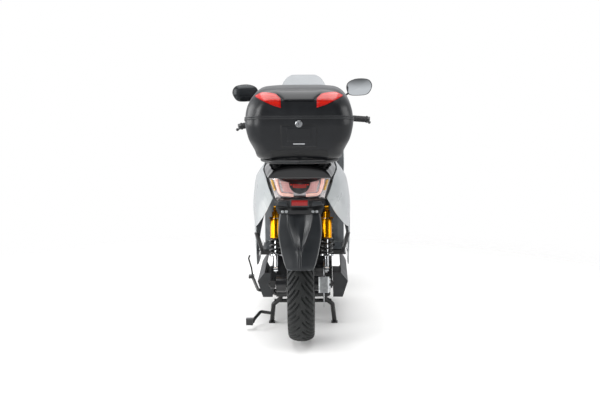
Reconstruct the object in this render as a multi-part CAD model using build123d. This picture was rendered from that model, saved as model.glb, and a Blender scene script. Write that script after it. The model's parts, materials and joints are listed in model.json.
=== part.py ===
"""Electric moped scooter with a top case, standing on its centre stand. Millimetres, +Y forwards, +X right, +Z up."""

import os
from math import atan2, cos, degrees, hypot, radians, sin

from build123d import *

# ---------------------------------------------------------------- driving sizes
wheelbase = 1360.0
rear_overhang = 300.0  # rear axle to the back of the top case
rear_tyre_radius = 262.0  # 120/70-14
rear_tyre_width = 120.0
front_tyre_radius = 266.0  # 110/80-14
front_tyre_width = 110.0
stand_lift = 15.0  # air under the rear tyre on the centre stand
running_gap = 0.3  # between pieces that move past each other
seat_gap = 0.3  # between pieces that sit on each other

rear_axle_y = (rear_overhang - wheelbase - front_tyre_radius) / 2
rear_axle_z = rear_tyre_radius + stand_lift
front_axle_z = front_tyre_radius


def ahead(distance):
    """The y of a place that far ahead of the rear axle."""
    return rear_axle_y + distance


# steering
rake = 26.5  # degrees from upright
fork_offset = 35.0  # axle ahead of the steering axis
rest_steer = 5.3  # the handlebar rests turned this far left
fork_spacing = 90.0  # each leg from the middle
stanchion_radius = 16.5
fork_leg_radius = 22.0
yoke_height = 430.0  # lower yoke's underside, along the steering axis from the axle's level
yoke_thickness = 26.0
head_tube_low = 466.0
head_tube_high = 622.0
head_tube_radius = 29.0
head_tube_bore = 23.0
stem_radius = 14.0
bearing_gap = 0.05
stem_top = 712.0
grip_height = 783.0  # along the steering axis
grip_inner = 203.0
grip_outer = 329.0
grip_radius = 16.0
bar_radius = 11.0

# wheels
axle_radius = 7.5
rim_seat_radius = 172.0
rim_width_rear = 88.0
rim_width_front = 76.0
tyre_bead_width = 9.0
hub_radius = 34.0
spoke_count = 5
disc_thickness = 4.0
front_disc_radius = 112.0
front_disc_x = -50.0
rear_disc_radius = 110.0
rear_disc_x = 102.0
disc_hole_radius = 20.0
disc_ring_depth = 34.0
caliper_gap = 0.5

# rear suspension
arm_pivot_ahead = 400.0
arm_pivot_z = 385.0
arm_inner_x = 118.0
arm_width = 22.0
arm_height = 44.0
shock_x = 116.0
shock_top_ahead, shock_top_z = 85.0, 605.0
shock_low_ahead, shock_low_z = 20.0, 338.0
spring_outer = 29.0
spring_inner = 22.0
damper_radius = 17.0
rod_radius = 7.0
reservoir_radius = 22.5
reservoir_length = 86.0
eye_radius = 15.0
pin_radius = 6.0
shock_eye_half = 9.0
open_pivot_gap = 2.0  # at the shocks' lower eyes, where the linkage is open
spring_top, spring_bottom = 44.0, 208.0  # along a shock from its top eye
damper_end = 132.0
rod_top = 112.0
pivot_bolt_radius = 8.0
motor_ahead, motor_z = 340.0, 290.0
motor_radius = 60.0
motor_right_x = 96.0
gear_case_radius = 40.0

# frame
rail_x = 118.0
rail_z = 190.0
rail_radius = 15.0
tail_rail_x = 82.0
tail_rail_start, tail_rail_end = (230.0, 650.0), (-175.0, 702.0)  # ahead, z
tail_rail_slope = (tail_rail_end[1] - tail_rail_start[1]) / (tail_rail_start[0] - tail_rail_end[0])
down_tube_radius = 20.0
bucket_half_width = 90.0
battery_bottom_z, battery_top_z = 152.0, 264.0
seat_hinge_ahead, seat_hinge_z = 715.0, 706.0
rack_post_places = (55.0, -150.0)
rack_post_radius = 9.0

# stands and pegs
stand_pivot_ahead, stand_pivot_z = 370.0, 150.0
stand_foot_ahead = 405.0
stand_foot_x = 152.0
stand_leg_radius = 11.0
stand_tube_half = 122.0
side_stand_pivot = (-150.0, 600.0, 112.0)  # x, ahead, z
side_stand_tilt = 22.3  # degrees of its pivot bolt from level
peg_hinge_x, peg_hinge_ahead, peg_hinge_z = 190.0, 330.0, 362.0
peg_length = 100.0
peg_eye_half = 10.0
peg_lean = 17.0  # degrees outwards of upright when folded

# bodywork
body_wall = 3.0
shield_half_width = 208.0
floor_z = 300.0
floor_thickness = 8.0
floor_half_width = 212.0
sill_half_width = 224.0
cowl_bottom_z = 138.0
screen_spread = 1.03  # how much wider than the nose the screen sits
lamp_half_width = 60.0
lamp_low_z, lamp_high_z = 775.0, 838.0
tail_light_top = 138.0  # half-width of the tail light at its top edge
plate_hole_spacing = 140.0
plate_hole_z = 645.0
plate_hole_radius = 3.0

# top case
rack_top_z = 874.0
case_wall = 3.5
case_centre_ahead = -92.0
seam_gap = 0.6
case_seam_rear_z, case_seam_front_z = 1056.0, 987.0
case_hinge_ahead, case_hinge_z = 122.0, 985.0
lid_hinge_radius = 4.0
lock_radius = 16.0
lock_z = 1027.0

parts = {}


# ---------------------------------------------------------------- small builders
def block(x, y, z):
    """A box from (low, high) pairs."""
    size = [high - low for low, high in (x, y, z)]
    middle = [(high + low) / 2 for low, high in (x, y, z)]
    return Pos(*middle) * Box(*size)


def rod(start, end, radius, end_radius=None):
    """A round bar, or a cone, between two points."""
    axis = Vector(*end) - Vector(*start)
    plane = Plane(origin=start, z_dir=axis)
    align = (Align.CENTER, Align.CENTER, Align.MIN)
    if end_radius is None:
        return plane.location * Cylinder(radius, axis.length, align=align)
    return plane.location * Cone(radius, end_radius, axis.length, align=align)


def cross_rod(radius, low_x, high_x, y, z):
    """A round bar along X."""
    return rod((low_x, y, z), (high_x, y, z), radius)


def pipe(points, radius, bend):
    """A bent round tube, solid, with one bend radius."""
    path = FilletPolyline(*points, radius=bend)
    start = Plane(origin=path @ 0, z_dir=path % 0)
    return sweep(start * Circle(radius), path=path)


def jointed_bar(points, radius, end_ball):
    """Straight round bars from point to point, with a ball at each elbow and a larger one at the end."""
    bar = None
    for start, end in zip(points, points[1:]):
        run = Vector(*end) - Vector(*start)
        along = Plane(origin=start, z_dir=run)
        piece = extrude(along * Circle(radius), amount=run.length)
        bar = piece if bar is None else bar + along.location * Sphere(radius) + piece
    return bar + Plane(origin=points[-1], z_dir=run).location * Sphere(end_ball)


def slab_x(outline, low_x, high_x):
    """A plate from an outline of (y, z) points, between two x values."""
    face = make_face(Polyline(*[(low_x, y, z) for y, z in outline], close=True))
    return extrude(face, amount=high_x - low_x, dir=(1, 0, 0))


def slab_y(outline, low_y, high_y):
    """A plate from an outline of (x, z) points, between two y values."""
    face = make_face(Polyline(*[(x, low_y, z) for x, z in outline], close=True))
    return extrude(face, amount=high_y - low_y, dir=(0, 1, 0))


def slab_z(outline, low_z, high_z):
    """A plate from an outline of (x, y) points, between two z values."""
    face = make_face(Polyline(*[(x, y, low_z) for x, y in outline], close=True))
    return extrude(face, amount=high_z - low_z, dir=(0, 0, 1))


def turned_x(profile, y=0.0, z=0.0):
    """A solid of revolution about the X axis from (x, radius) points, then set at y, z."""
    face = make_face(Polyline(*[(x, radius, 0) for x, radius in profile], close=True))
    return Pos(0, y, z) * revolve(face, Axis.X)


def group(*shapes):
    """Separate solids kept together in one node."""
    return Compound(children=[solid for shape in shapes for solid in shape.solids()])


def mirror_x(shape):
    """The same shape on the other side of the middle plane."""
    return mirror(shape, about=Plane.YZ)


def both_sides(shape):
    """The shape and its mirror image as one."""
    return shape + mirror_x(shape)


def thick_line(points, wall):
    """A closed outline that follows an open 2D line on its left with an even wall."""
    count = len(points)
    normals = []
    for (x0, y0), (x1, y1) in zip(points, points[1:]):
        length = hypot(x1 - x0, y1 - y0)
        normals.append((-(y1 - y0) / length, (x1 - x0) / length))
    shifted = []
    for i, (x, y) in enumerate(points):
        before, after = normals[max(i - 1, 0)], normals[min(i, count - 2)]
        mean = (before[0] + after[0], before[1] + after[1])
        scale = 2 * wall / (mean[0] ** 2 + mean[1] ** 2)
        shifted.append((x + mean[0] * scale, y + mean[1] * scale))
    return list(points) + shifted[::-1]


def skin(stations, wall, place):
    """A thin ruled shell through stations of (position, open line); place puts (a, b, position) in space."""
    faces = []
    for position, line in stations:
        outline = thick_line(line, wall)
        faces.append(make_face(Polyline(*[place(a, b, position) for a, b in outline], close=True)))
    return loft(faces, ruled=True)


def ruled(stations, place):
    """A closed ruled solid through stations of (position, closed outline)."""
    faces = []
    for position, outline in stations:
        faces.append(make_face(Polyline(*[place(a, b, position) for a, b in outline], close=True)))
    return loft(faces, ruled=True)


def along_y(a, b, position):
    """Places an (x, z) outline at a y."""
    return (a, position, b)


def along_z(a, b, position):
    """Places an (x, y) outline at a z."""
    return (a, b, position)


def mirrored_line(half):
    """A line given from the middle outwards on the right, completed on the left."""
    return [(-x, y) for x, y in half[::-1] if x > 0] + list(half)


# ---------------------------------------------------------------- steering frame
steer_up = Vector(0, -sin(radians(rake)), cos(radians(rake)))
steer_forward = Vector(0, cos(radians(rake)), sin(radians(rake)))
steer_origin = Vector(0, ahead(wheelbase), front_axle_z) - steer_forward * fork_offset
steer_place = Plane(
    origin=steer_origin,
    x_dir=Vector(1, 0, 0).rotate(Axis((0, 0, 0), steer_up), rest_steer),
    z_dir=steer_up,
).location


def steered(shape):
    """Sets a shape drawn in steering coordinates (right, forwards, up the steering axis) in place."""
    return steer_place * shape


def steer_point(right, forward, up):
    """A point of the steering coordinates with the wheel straight ahead, in the part's frame."""
    return Vector(right, 0, 0) + steer_forward * forward + steer_up * up + steer_origin


# ---------------------------------------------------------------- wheels
def tyre(radius, width, rim_width):
    """A hollow tyre about the X axis: rounded crown, sidewalls and two beads."""
    half, bead = width / 2, rim_width / 2
    outside = [
        (-bead + tyre_bead_width, rim_seat_radius + seat_gap),
        (-bead + 0.4, rim_seat_radius + seat_gap),
        (-bead + 0.4, rim_seat_radius + 15),
        (-half, radius - 46),
        (-half * 0.86, radius - 18),
        (-half * 0.5, radius - 4.5),
        (0, radius),
    ]
    inside = [
        (0, radius - 11),
        (-half * 0.5, radius - 15),
        (-half * 0.78, radius - 28),
        (-half + 8, radius - 48),
        (-bead + tyre_bead_width, rim_seat_radius + 20),
    ]
    outside += [(-x, r) for x, r in outside[-2::-1]]
    inside = [(-x, r) for x, r in inside[:0:-1]] + inside
    return turned_x(outside + inside)


def rim(width, hub_left, hub_right, spoke_thickness):
    """A cast wheel about the X axis: drop-centre barrel, flanges, hub and paired spokes."""
    half = width / 2
    barrel = turned_x([
        (-half - 5, rim_seat_radius + 14), (-half, rim_seat_radius + 14), (-half, rim_seat_radius),
        (-half + 22, rim_seat_radius), (-half + 30, rim_seat_radius - 14), (half - 30, rim_seat_radius - 14),
        (half - 22, rim_seat_radius), (half, rim_seat_radius), (half, rim_seat_radius + 14),
        (half + 5, rim_seat_radius + 14), (half + 5, rim_seat_radius - 6), (half - 20, rim_seat_radius - 8),
        (half - 32, rim_seat_radius - 21), (-half + 32, rim_seat_radius - 21),
        (-half + 20, rim_seat_radius - 8), (-half - 5, rim_seat_radius - 6),
    ])
    hub = turned_x([
        (hub_left, axle_radius + running_gap), (hub_left, hub_radius - 6), (hub_left + 6, hub_radius),
        (hub_right - 6, hub_radius), (hub_right, hub_radius - 6), (hub_right, axle_radius + running_gap),
    ])
    thick = spoke_thickness / 2
    reach = rim_seat_radius - 20
    spoke_outline = [(-thick, hub_radius - 6), (thick, hub_radius - 6), (thick * 0.7, reach), (-thick * 0.7, reach)]
    wheel = barrel + hub
    for turn in range(spoke_count):
        for side in (-1, 1):
            spoke = Pos(0, side * 11, 0) * Rot(side * -5, 0, 0) * slab_y(spoke_outline, -5.5, 5.5)
            wheel += Rot(turn * 360 / spoke_count, 0, 0) * spoke
    return wheel


def brake_disc(radius, x):
    """A drilled disc on the X axis, with windows between its friction ring and its carrier."""
    low, high = x - disc_thickness / 2, x + disc_thickness / 2
    disc = cross_rod(radius, low, high, 0, 0) - cross_rod(disc_hole_radius, low, high, 0, 0)
    window_low, window_high = hub_radius + 6, radius - disc_ring_depth
    window = slab_x([(window_low, -13), (window_high, -17), (window_high, 17), (window_low, 13)], low, high)
    for turn in range(6):
        disc -= Rot(turn * 60, 0, 0) * window
        disc -= Rot(turn * 60 + 30, 0, 0) * cross_rod(4, low, high, radius - disc_ring_depth / 2 - 5, 0)
        disc -= Rot(turn * 60, 0, 0) * cross_rod(4, low, high, radius - disc_ring_depth / 2 + 5, 0)
    return disc


def caliper(disc_x, disc_radius, angle, half_width, length, depth):
    """A two-piece caliper about the X axis that straddles the disc's edge at an angle above the rear."""
    low_r, high_r = disc_radius - depth, disc_radius + 16
    body = block((disc_x - half_width, disc_x + half_width), (-high_r, -low_r), (-length / 2, length / 2))
    slot = block((disc_x - disc_thickness / 2 - caliper_gap - 2, disc_x + disc_thickness / 2 + caliper_gap + 2),
                 (-disc_radius - 3, -low_r + 1), (-length / 2 - 1, length / 2 + 1))
    body -= slot
    body = chamfer(body.edges().filter_by(Axis.Z).sort_by(Axis.Y)[:2], 7)
    for z in (-length / 4, length / 4):
        body += cross_rod(12, disc_x + half_width, disc_x + half_width + 5, -(low_r + high_r) / 2, z)
        pad_r = (-disc_radius + 2, -low_r - 4)
        for side in (-1, 1):
            low = disc_x + side * (disc_thickness / 2 + caliper_gap)
            high = low + side * 2.0
            body += block(tuple(sorted((low, high))), pad_r, (-length / 2 + 4, length / 2 - 4))
    return Rot(-angle, 0, 0) * body


def rear_wheel():
    """Rim, tyre and disc of the rear wheel, on the rear axle."""
    place = Pos(0, rear_axle_y, rear_axle_z)
    parts["rear_tyre"] = place * tyre(rear_tyre_radius, rear_tyre_width, rim_width_rear)
    hub_end = rear_disc_x - disc_thickness / 2
    wheel = rim(rim_width_rear, -64.0, hub_end, 30)
    disc = brake_disc(rear_disc_radius, rear_disc_x)
    parts["rear_rim"] = place * wheel
    parts["rear_disc"] = place * Pos(seat_gap, 0, 0) * disc


def front_wheel():
    """Rim, tyre and disc of the front wheel, in steering coordinates, then set in place."""
    place = Pos(0, fork_offset, 0)
    parts["front_tyre"] = steered(place * tyre(front_tyre_radius, front_tyre_width, rim_width_front))
    hub_end = front_disc_x + disc_thickness / 2
    parts["front_rim"] = steered(place * rim(rim_width_front, hub_end, 50.0, 28))
    parts["front_disc"] = steered(place * Pos(-seat_gap, 0, 0) * brake_disc(front_disc_radius, front_disc_x))


# ---------------------------------------------------------------- fork and steering
def fork():
    """Fork lowers with the axle, stanchions, yoke and stem, and the caliper, in steering coordinates."""
    leg_low, leg_high = -34.0, 296.0
    legs = Part()
    for x in (-fork_spacing, fork_spacing):
        leg = rod((x, 0, leg_low), (x, 0, leg_high), fork_leg_radius)
        leg += rod((x, 0, leg_high), (x, 0, leg_high + 16), fork_leg_radius + 3)
        leg += block((x - 15, x + 15), (-4, fork_offset + 22), (-26, 24))
        leg -= rod((x, 0, 40), (x, 0, leg_high + 17), stanchion_radius + running_gap)
        leg -= cross_rod(axle_radius + seat_gap, x - 30, x + 30, fork_offset, 0)
        legs += leg
    axle_end = fork_spacing + 17
    axle = cross_rod(axle_radius, -axle_end, axle_end, fork_offset, 0)
    axle += cross_rod(14, axle_end, axle_end + 7, fork_offset, 0)
    axle += cross_rod(14, -axle_end - 7, -axle_end, fork_offset, 0)
    spacer = 50.0 + seat_gap
    for low, high in ((spacer, fork_spacing - 15.5), (-fork_spacing + 15.5, front_disc_x - 3.5)):
        axle += cross_rod(12, low, high, fork_offset, 0)
    parts["fork_lowers"] = group(steered(legs), steered(axle))

    stanchions = Part()
    for x in (-fork_spacing, fork_spacing):
        stanchions += rod((x, 0, 150), (x, 0, yoke_height + yoke_thickness + 6), stanchion_radius)
    parts["stanchions"] = steered(stanchions)

    yoke = slab_z([(-fork_spacing - 26, -20), (-40, -34), (40, -34), (fork_spacing + 26, -20),
                   (fork_spacing + 26, 20), (40, 30), (-40, 30), (-fork_spacing - 26, 20)],
                  yoke_height, yoke_height + yoke_thickness)
    for x in (-fork_spacing, fork_spacing):
        yoke -= rod((x, 0, yoke_height - 1), (x, 0, yoke_height + yoke_thickness + 1), stanchion_radius + 0.1)
    stem = rod((0, 0, yoke_height + yoke_thickness / 2), (0, 0, stem_top), stem_radius)
    stem += rod((0, 0, yoke_height + yoke_thickness), (0, 0, head_tube_low - 4), stem_radius + 8)
    stem += rod((0, 0, head_tube_high + 10), (0, 0, head_tube_high + 24), stem_radius + 8)
    bearings = []
    for low in (head_tube_low + 2, head_tube_high - 14):
        ring = rod((0, 0, low), (0, 0, low + 12), head_tube_bore - bearing_gap)
        bearings.append(ring - rod((0, 0, low), (0, 0, low + 12), stem_radius + bearing_gap))
    parts["steering_stem"] = group(steered(yoke + stem), *[steered(ring) for ring in bearings])

    front_grip = caliper(front_disc_x, front_disc_radius, 0, 17.4, 74, 34)
    front_grip = Rot(-12, 0, 0) * front_grip
    front_grip = Pos(0, fork_offset, 0) * Rot(-26, 0, 0) * front_grip
    parts["front_caliper"] = steered(front_grip)


def front_fender():
    """Mudguard between the fork legs, with side skirts and mounting ears."""
    inner, outer, half = front_tyre_radius + 10, front_tyre_radius + 13, 60.0
    profile = [(-half, inner - 42), (-half, outer - 14), (-half + 16, outer), (half - 16, outer),
               (half, outer - 14), (half, inner - 42), (half - 3, inner - 42), (half - 3, inner - 15),
               (half - 17, inner), (-half + 17, inner), (-half + 3, inner - 15), (-half + 3, inner - 42)]
    arc = 152.0
    face = make_face(Polyline(*[(x, radius, 0) for x, radius in profile], close=True))
    guard = Rot(-8 + rake, 0, 0) * revolve(face, Axis.X, revolution_arc=arc)
    guard = Pos(0, fork_offset, 0) * guard
    for x in (-1, 1):
        ear = block(tuple(sorted((x * (half - 1), x * (fork_spacing - fork_leg_radius + 5)))), (-12, 12), (216, 244))
        leg = rod((x * fork_spacing, 0, 150), (x * fork_spacing, 0, 300), fork_leg_radius + seat_gap)
        guard += ear - leg
    parts["front_fender"] = steered(guard)


def bar_point(x):
    """A point on the handlebar's straight grip section, in steering coordinates, for a distance from the middle."""
    back = -19.0 - (abs(x) - grip_inner) * 27.0 / (grip_outer - grip_inner)
    return Vector(x, back, grip_height - (abs(x) - grip_inner) * 0.02)


def bar_rod(low, high, radius):
    """A round bar along the grip section between two distances, on the side of their sign."""
    return rod(tuple(bar_point(low)), tuple(bar_point(high)), radius)


def bar_bends(side):
    """The bends of one half of the handlebar, from the clamp out to the grip section."""
    return [(side * 66, 6, stem_top + 22), (side * 112, -4, grip_height - 10), tuple(bar_point(side * 140))]


def handlebar():
    """Bar, clamp and central cover with its display."""
    halves = []
    for side in (-1, 1):
        halves.append(pipe([(0, 6, stem_top + 20)] + bar_bends(side) + [tuple(bar_point(side * grip_outer))], bar_radius, 16))
    clamp = rod((0, 0, stem_top - 34), (0, 0, stem_top + 14), stem_radius + 8)
    clamp -= rod((0, 0, stem_top - 60), (0, 0, stem_top + seat_gap), stem_radius + 0.1)
    clamp += block((-26, 26), (-14, 24), (stem_top + 4, stem_top + 34))
    parts["handlebar"] = steered(halves[0] + halves[1] + clamp)


def handlebar_cover():
    """Hollow cover over the bar's middle, with the display set in its rider side."""
    outside = [
        (stem_top - 14, [(-96, -34), (-60, -48), (60, -48), (96, -34), (96, 40), (60, 66), (-60, 66), (-96, 40)]),
        (stem_top + 40, [(-112, -40), (-70, -62), (70, -62), (112, -40), (112, 36), (70, 84), (-70, 84), (-112, 36)]),
        (stem_top + 92, [(-92, -20), (-60, -44), (60, -44), (92, -20), (92, 34), (60, 70), (-60, 70), (-92, 34)]),
    ]
    wall = 4.0
    inside = []
    for (height, line), lift in zip(outside, (-1, 0, -wall)):
        shrink = [(x * (1 - wall / 100), y * (1 - wall / 60)) for x, y in line]
        inside.append((height + lift, shrink))
    cover = ruled(outside, along_z) - ruled(inside, along_z)
    for side in (-1, 1):
        points = [(side * 40, 6, stem_top + 21)] + bar_bends(side) + [tuple(bar_point(side * (grip_inner - 10)))]
        cover -= pipe(points, bar_radius + seat_gap, 16)
    screen_plane = Pos(0, -40, stem_top + 96) * Rot(28, 0, 0)
    screen = screen_plane * Box(112, 66, 8)
    cover -= screen_plane * Box(112.8, 66.8, 8.8)
    parts["handlebar_cover"] = group(steered(cover), steered(screen))


def grips_and_controls():
    """Grips, switch housings, levers and push buttons, in steering coordinates."""
    fittings = []
    for name, side in (("left", -1), ("right", 1)):
        grip = bar_rod(side * (grip_inner + 1), side * grip_outer, grip_radius)
        grip += bar_rod(side * (grip_inner + 1), side * (grip_inner + 6), grip_radius + 5)
        grip += bar_rod(side * (grip_outer - 8), side * grip_outer, grip_radius + 2)
        grip -= bar_rod(side * (grip_inner - 20), side * (grip_outer + 5), bar_radius + running_gap / 2)
        weight = bar_rod(side * (grip_outer + 0.5), side * (grip_outer + 12), grip_radius - 1)
        parts["throttle_grip" if side > 0 else "left_grip"] = steered(grip)
        fittings.append(steered(weight))

        pod = bar_rod(side * 150, side * grip_inner, 23)
        pod -= bar_rod(side * 140, side * (grip_inner + 10), bar_radius + seat_gap / 2)
        pod += block(tuple(sorted((side * 152, side * 200))), (8, 42), (grip_height - 24, grip_height + 6))
        pod += block(tuple(sorted((side * 158, side * 196))), (12, 40), (grip_height + 6, grip_height + 28))
        slot_low, slot_high = grip_height - 19, grip_height - 7
        pod -= block(tuple(sorted((side * 168, side * 230))), (22.4, 60), (slot_low, slot_high))
        button_x = side * 178
        press_x = tuple(sorted((button_x - 7.4, button_x + 7.4)))
        pod -= block(press_x, (-60, -30), (grip_height - 6, grip_height + 6))
        if side < 0:
            pod -= block((button_x - 9.4, button_x + 9.4), (-60, -26), (grip_height - 18, grip_height - 9))
            switch = block((button_x - 5, button_x + 5), (-42, -26.4), (grip_height - 17.7, grip_height - 9.3))
            parts["indicator_switch"] = steered(switch)
        pod -= rod((side * 176, 30, slot_low - 30), (side * 176, 30, slot_high + 30), 3.05)
        boss = rod((side * 170, 26, grip_height + 28), (side * 170, 26, grip_height + 36), 9)
        pod += boss
        button = block((button_x - 7, button_x + 7), (-46, -33.5), (grip_height - 5.6, grip_height + 5.6))
        parts["horn_button" if side < 0 else "start_button"] = steered(button)
        parts[f"{name}_controls"] = steered(pod)

        lever_mid = (slot_low + slot_high) / 2
        pivot = (side * 176, 30)
        tip_drop = 36.0
        blade_points = [(side * 176, 30, lever_mid), (side * 206, 42, lever_mid), (side * 250, 34, lever_mid - 12),
                        (side * 346, 10, lever_mid - tip_drop - 6)]
        blade = pipe(blade_points, 5.2, 25)
        blade += rod((pivot[0], pivot[1], slot_low + running_gap), (pivot[0], pivot[1], slot_high - running_gap), 7)
        blade += Pos(side * 346, 10, lever_mid - tip_drop - 6) * Sphere(8)
        blade -= rod((pivot[0], pivot[1], slot_low - 30), (pivot[0], pivot[1], slot_high + 30), 3.05)
        parts[f"{name}_lever"] = steered(blade)
        pin = rod((pivot[0], pivot[1], slot_low - 4), (pivot[0], pivot[1], slot_high + 4), 3.0)
        fittings.append(steered(pin))
    parts["handlebar"] = group(parts["handlebar"], *fittings)


def mirrors():
    """Mirror stems and heads, in steering coordinates."""
    centre = (296.0, 48.0, 922.0)
    half_wide, half_high = 67.0, 45.0
    for name, side in (("left", -1), ("right", 1)):
        base = (side * 170, 26, grip_height + 36 + running_gap)
        ball = (side * (centre[0] - 30), centre[1] + 12, centre[2] - 22)
        elbow = (base[0], base[1], base[2] + 34)
        stem = jointed_bar([base, elbow, ball], 5, 8)
        stem += rod(base, (base[0], base[1], base[2] + 12), 8)
        parts[f"{name}_mirror_stem"] = steered(stem)
        outline = [(-half_wide, -14), (-half_wide + 14, -half_high + 4), (-10, -half_high), (40, -half_high + 6),
                   (half_wide - 4, -10), (half_wide, 16), (half_wide - 16, half_high - 6), (half_wide - 40, half_high),
                   (-16, half_high), (-half_wide + 16, half_high - 14), (-half_wide, 14)]
        outline = [(side * x, z) for x, z in outline]
        small = [(x * 0.62, z * 0.62) for x, z in outline]
        middle = [(x * 0.95, z * 0.95) for x, z in outline]
        shell = ruled([(-6, outline), (8, middle), (24, small)], along_y)
        recess = [(x * 0.95, z * 0.93) for x, z in outline]
        shell -= slab_y(recess, -7, -2)
        glass = slab_y([(x * 0.94, z * 0.92) for x, z in outline], -5.5, -2 - seat_gap)
        head = Pos(side * centre[0], centre[1], centre[2]) * Rot(0, 0, side * -4) * Rot(-rake, 0, 0) * shell
        pane = Pos(side * centre[0], centre[1], centre[2]) * Rot(0, 0, side * -4) * Rot(-rake, 0, 0) * glass
        socket = Pos(*ball) * Sphere(8 + running_gap)
        head = head - socket - rod(ball, elbow, 9)
        parts[f"{name}_mirror_head"] = group(steered(head), steered(pane))


# ---------------------------------------------------------------- rear suspension
def arm_outline(height):
    """The side outline of a rear arm, from its pivot to past the axle, as (y, z) points."""
    centre = [(arm_pivot_ahead, arm_pivot_z), (300.0, 305.0), (0.0, rear_axle_z)]
    half = height / 2
    upper = [(ahead(a), z + half) for a, z in centre]
    lower = [(ahead(a), z - half) for a, z in centre]
    tail = [(ahead(-20), rear_axle_z + half - 6), (ahead(-20), rear_axle_z - half + 6)]
    nose = [(ahead(arm_pivot_ahead + half), arm_pivot_z)]
    return nose + upper + tail + lower[::-1]


def swingarm():
    """Both arms, the pivot tube, the shock lugs and the axle."""
    outer_x = arm_inner_x + arm_width
    pivot_y, axle_y = ahead(arm_pivot_ahead), rear_axle_y
    arm = slab_x(arm_outline(arm_height), arm_inner_x, outer_x)
    lug_y = ahead(shock_low_ahead)
    lug = slab_x([(lug_y - 22, shock_low_z - 50), (lug_y + 22, shock_low_z - 50), (lug_y + 14, shock_low_z + 14),
                  (lug_y - 14, shock_low_z + 14)], outer_x - 8, outer_x)
    arm += lug + cross_rod(pin_radius, shock_x - shock_eye_half - 2, outer_x - 4, lug_y, shock_low_z)
    body = both_sides(arm) + cross_rod(22, -outer_x, outer_x, pivot_y, arm_pivot_z)
    body -= cross_rod(pivot_bolt_radius + bearing_gap, -outer_x - 1, outer_x + 1, pivot_y, arm_pivot_z)
    axle = cross_rod(axle_radius, -outer_x - 8, outer_x + 8, axle_y, rear_axle_z)
    axle += cross_rod(13, outer_x, outer_x + 8, axle_y, rear_axle_z)
    axle += cross_rod(13, -outer_x - 8, -outer_x, axle_y, rear_axle_z)
    parts["swingarm"] = body + axle


def drive_unit():
    """Motor ahead of the wheel with its gear case along the left of it, back to the axle."""
    motor_y, axle_y = ahead(motor_ahead), rear_axle_y
    case_low, case_high = -arm_inner_x + 4, -rear_tyre_width / 2 - 8
    dy, dz = motor_y - axle_y, motor_z - rear_axle_z
    reach = hypot(dy, dz)
    turn = degrees(atan2(dz, dy))
    case = cross_rod(gear_case_radius, case_low, case_high, 0, 0)
    case += cross_rod(motor_radius - 4, case_low, case_high, reach, 0)
    case += slab_x([(0, -gear_case_radius), (reach, 6 - motor_radius), (reach, motor_radius - 6),
                    (0, gear_case_radius)], case_low, case_high)
    case = Pos(0, axle_y, rear_axle_z) * Rot(turn, 0, 0) * case
    case -= cross_rod(axle_radius + seat_gap, case_low - 1, case_high + 1, axle_y, rear_axle_z)
    motor = cross_rod(motor_radius, case_high - 2, motor_right_x, motor_y, motor_z)
    motor += cross_rod(motor_radius - 12, motor_right_x, motor_right_x + 8, motor_y, motor_z)
    motor += slab_x([(motor_y + 4, motor_z + 40), (motor_y + 40, motor_z + 40),
                     (ahead(arm_pivot_ahead) + 6, arm_pivot_z - 22.2), (ahead(arm_pivot_ahead) - 12, arm_pivot_z - 24)],
                    -60, 60)
    parts["drive_unit"] = case + motor


def rear_caliper():
    """Caliper behind the axle with the bracket that hangs it on the axle."""
    body = caliper(rear_disc_x + seat_gap, rear_disc_radius, 8, 24, 70, 34)
    plate_low, plate_high = rear_disc_x + 6, arm_inner_x - seat_gap
    bracket = slab_x([(16, -16), (16, 16), (-80, 28), (-96, 28), (-96, -12), (-80, -24)], plate_low, plate_high)
    bracket -= cross_rod(axle_radius + seat_gap, plate_low - 1, plate_high + 1, 0, 0)
    parts["rear_caliper"] = Pos(0, rear_axle_y, rear_axle_z) * (body + bracket)


def shocks():
    """Two coil-over shocks with piggyback reservoirs, drawn along their own axis from the top eye."""
    top = Vector(shock_x, ahead(shock_top_ahead), shock_top_z)
    low = Vector(shock_x, ahead(shock_low_ahead), shock_low_z)
    length = (low - top).length
    place = Plane(origin=top, x_dir=(1, 0, 0), z_dir=low - top).location
    rear = -1 if (place * Pos(0, 1, 0)).position.Y > top.Y else 1

    def eye(at, radius):
        return rod((-shock_eye_half, 0, at), (shock_eye_half, 0, at), radius)

    body = eye(0, eye_radius) - eye(0, pin_radius + bearing_gap)
    body += rod((0, 0, 12), (0, 0, spring_top), damper_radius)
    body += rod((0, 0, spring_top - 6), (0, 0, spring_top), spring_outer + 1)
    body += rod((0, 0, spring_top), (0, 0, damper_end), damper_radius)
    body -= rod((0, 0, spring_top - 4), (0, 0, damper_end + 1), rod_radius + running_gap)
    tank_y = rear * (spring_outer + reservoir_radius + 4)
    body += rod((0, tank_y, spring_top + 6), (0, tank_y, spring_top + 6 + reservoir_length), reservoir_radius)
    body += block((-13, 13), tuple(sorted((0, tank_y))), (spring_top - 22, spring_top - 2))
    body += rod((0, tank_y, spring_top - 22), (0, tank_y, spring_top + 8), 15)
    spring = rod((0, 0, spring_top + seat_gap), (0, 0, spring_bottom - seat_gap), spring_outer)
    spring -= rod((0, 0, spring_top), (0, 0, spring_bottom), spring_inner)
    slider = eye(length, eye_radius) - eye(length, pin_radius + open_pivot_gap)
    slider += rod((0, 0, spring_bottom), (0, 0, spring_bottom + 6), spring_outer + 1)
    slider += rod((0, 0, rod_top), (0, 0, spring_bottom + 4), rod_radius)
    slider += rod((0, 0, spring_bottom + 4), (0, 0, length - 12), shock_eye_half)
    for name, shape in (("shock_bodies", body), ("shock_springs", spring), ("shock_rods", slider)):
        right = place * shape
        parts[name] = group(right, Pos(-2 * shock_x, 0, 0) * right)


# ---------------------------------------------------------------- frame
def side_tube(points, radius, bend):
    """A bent tube on the right from (x, ahead, z) points."""
    return pipe([(x, ahead(a), z) for x, a, z in points], radius, bend)


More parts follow.
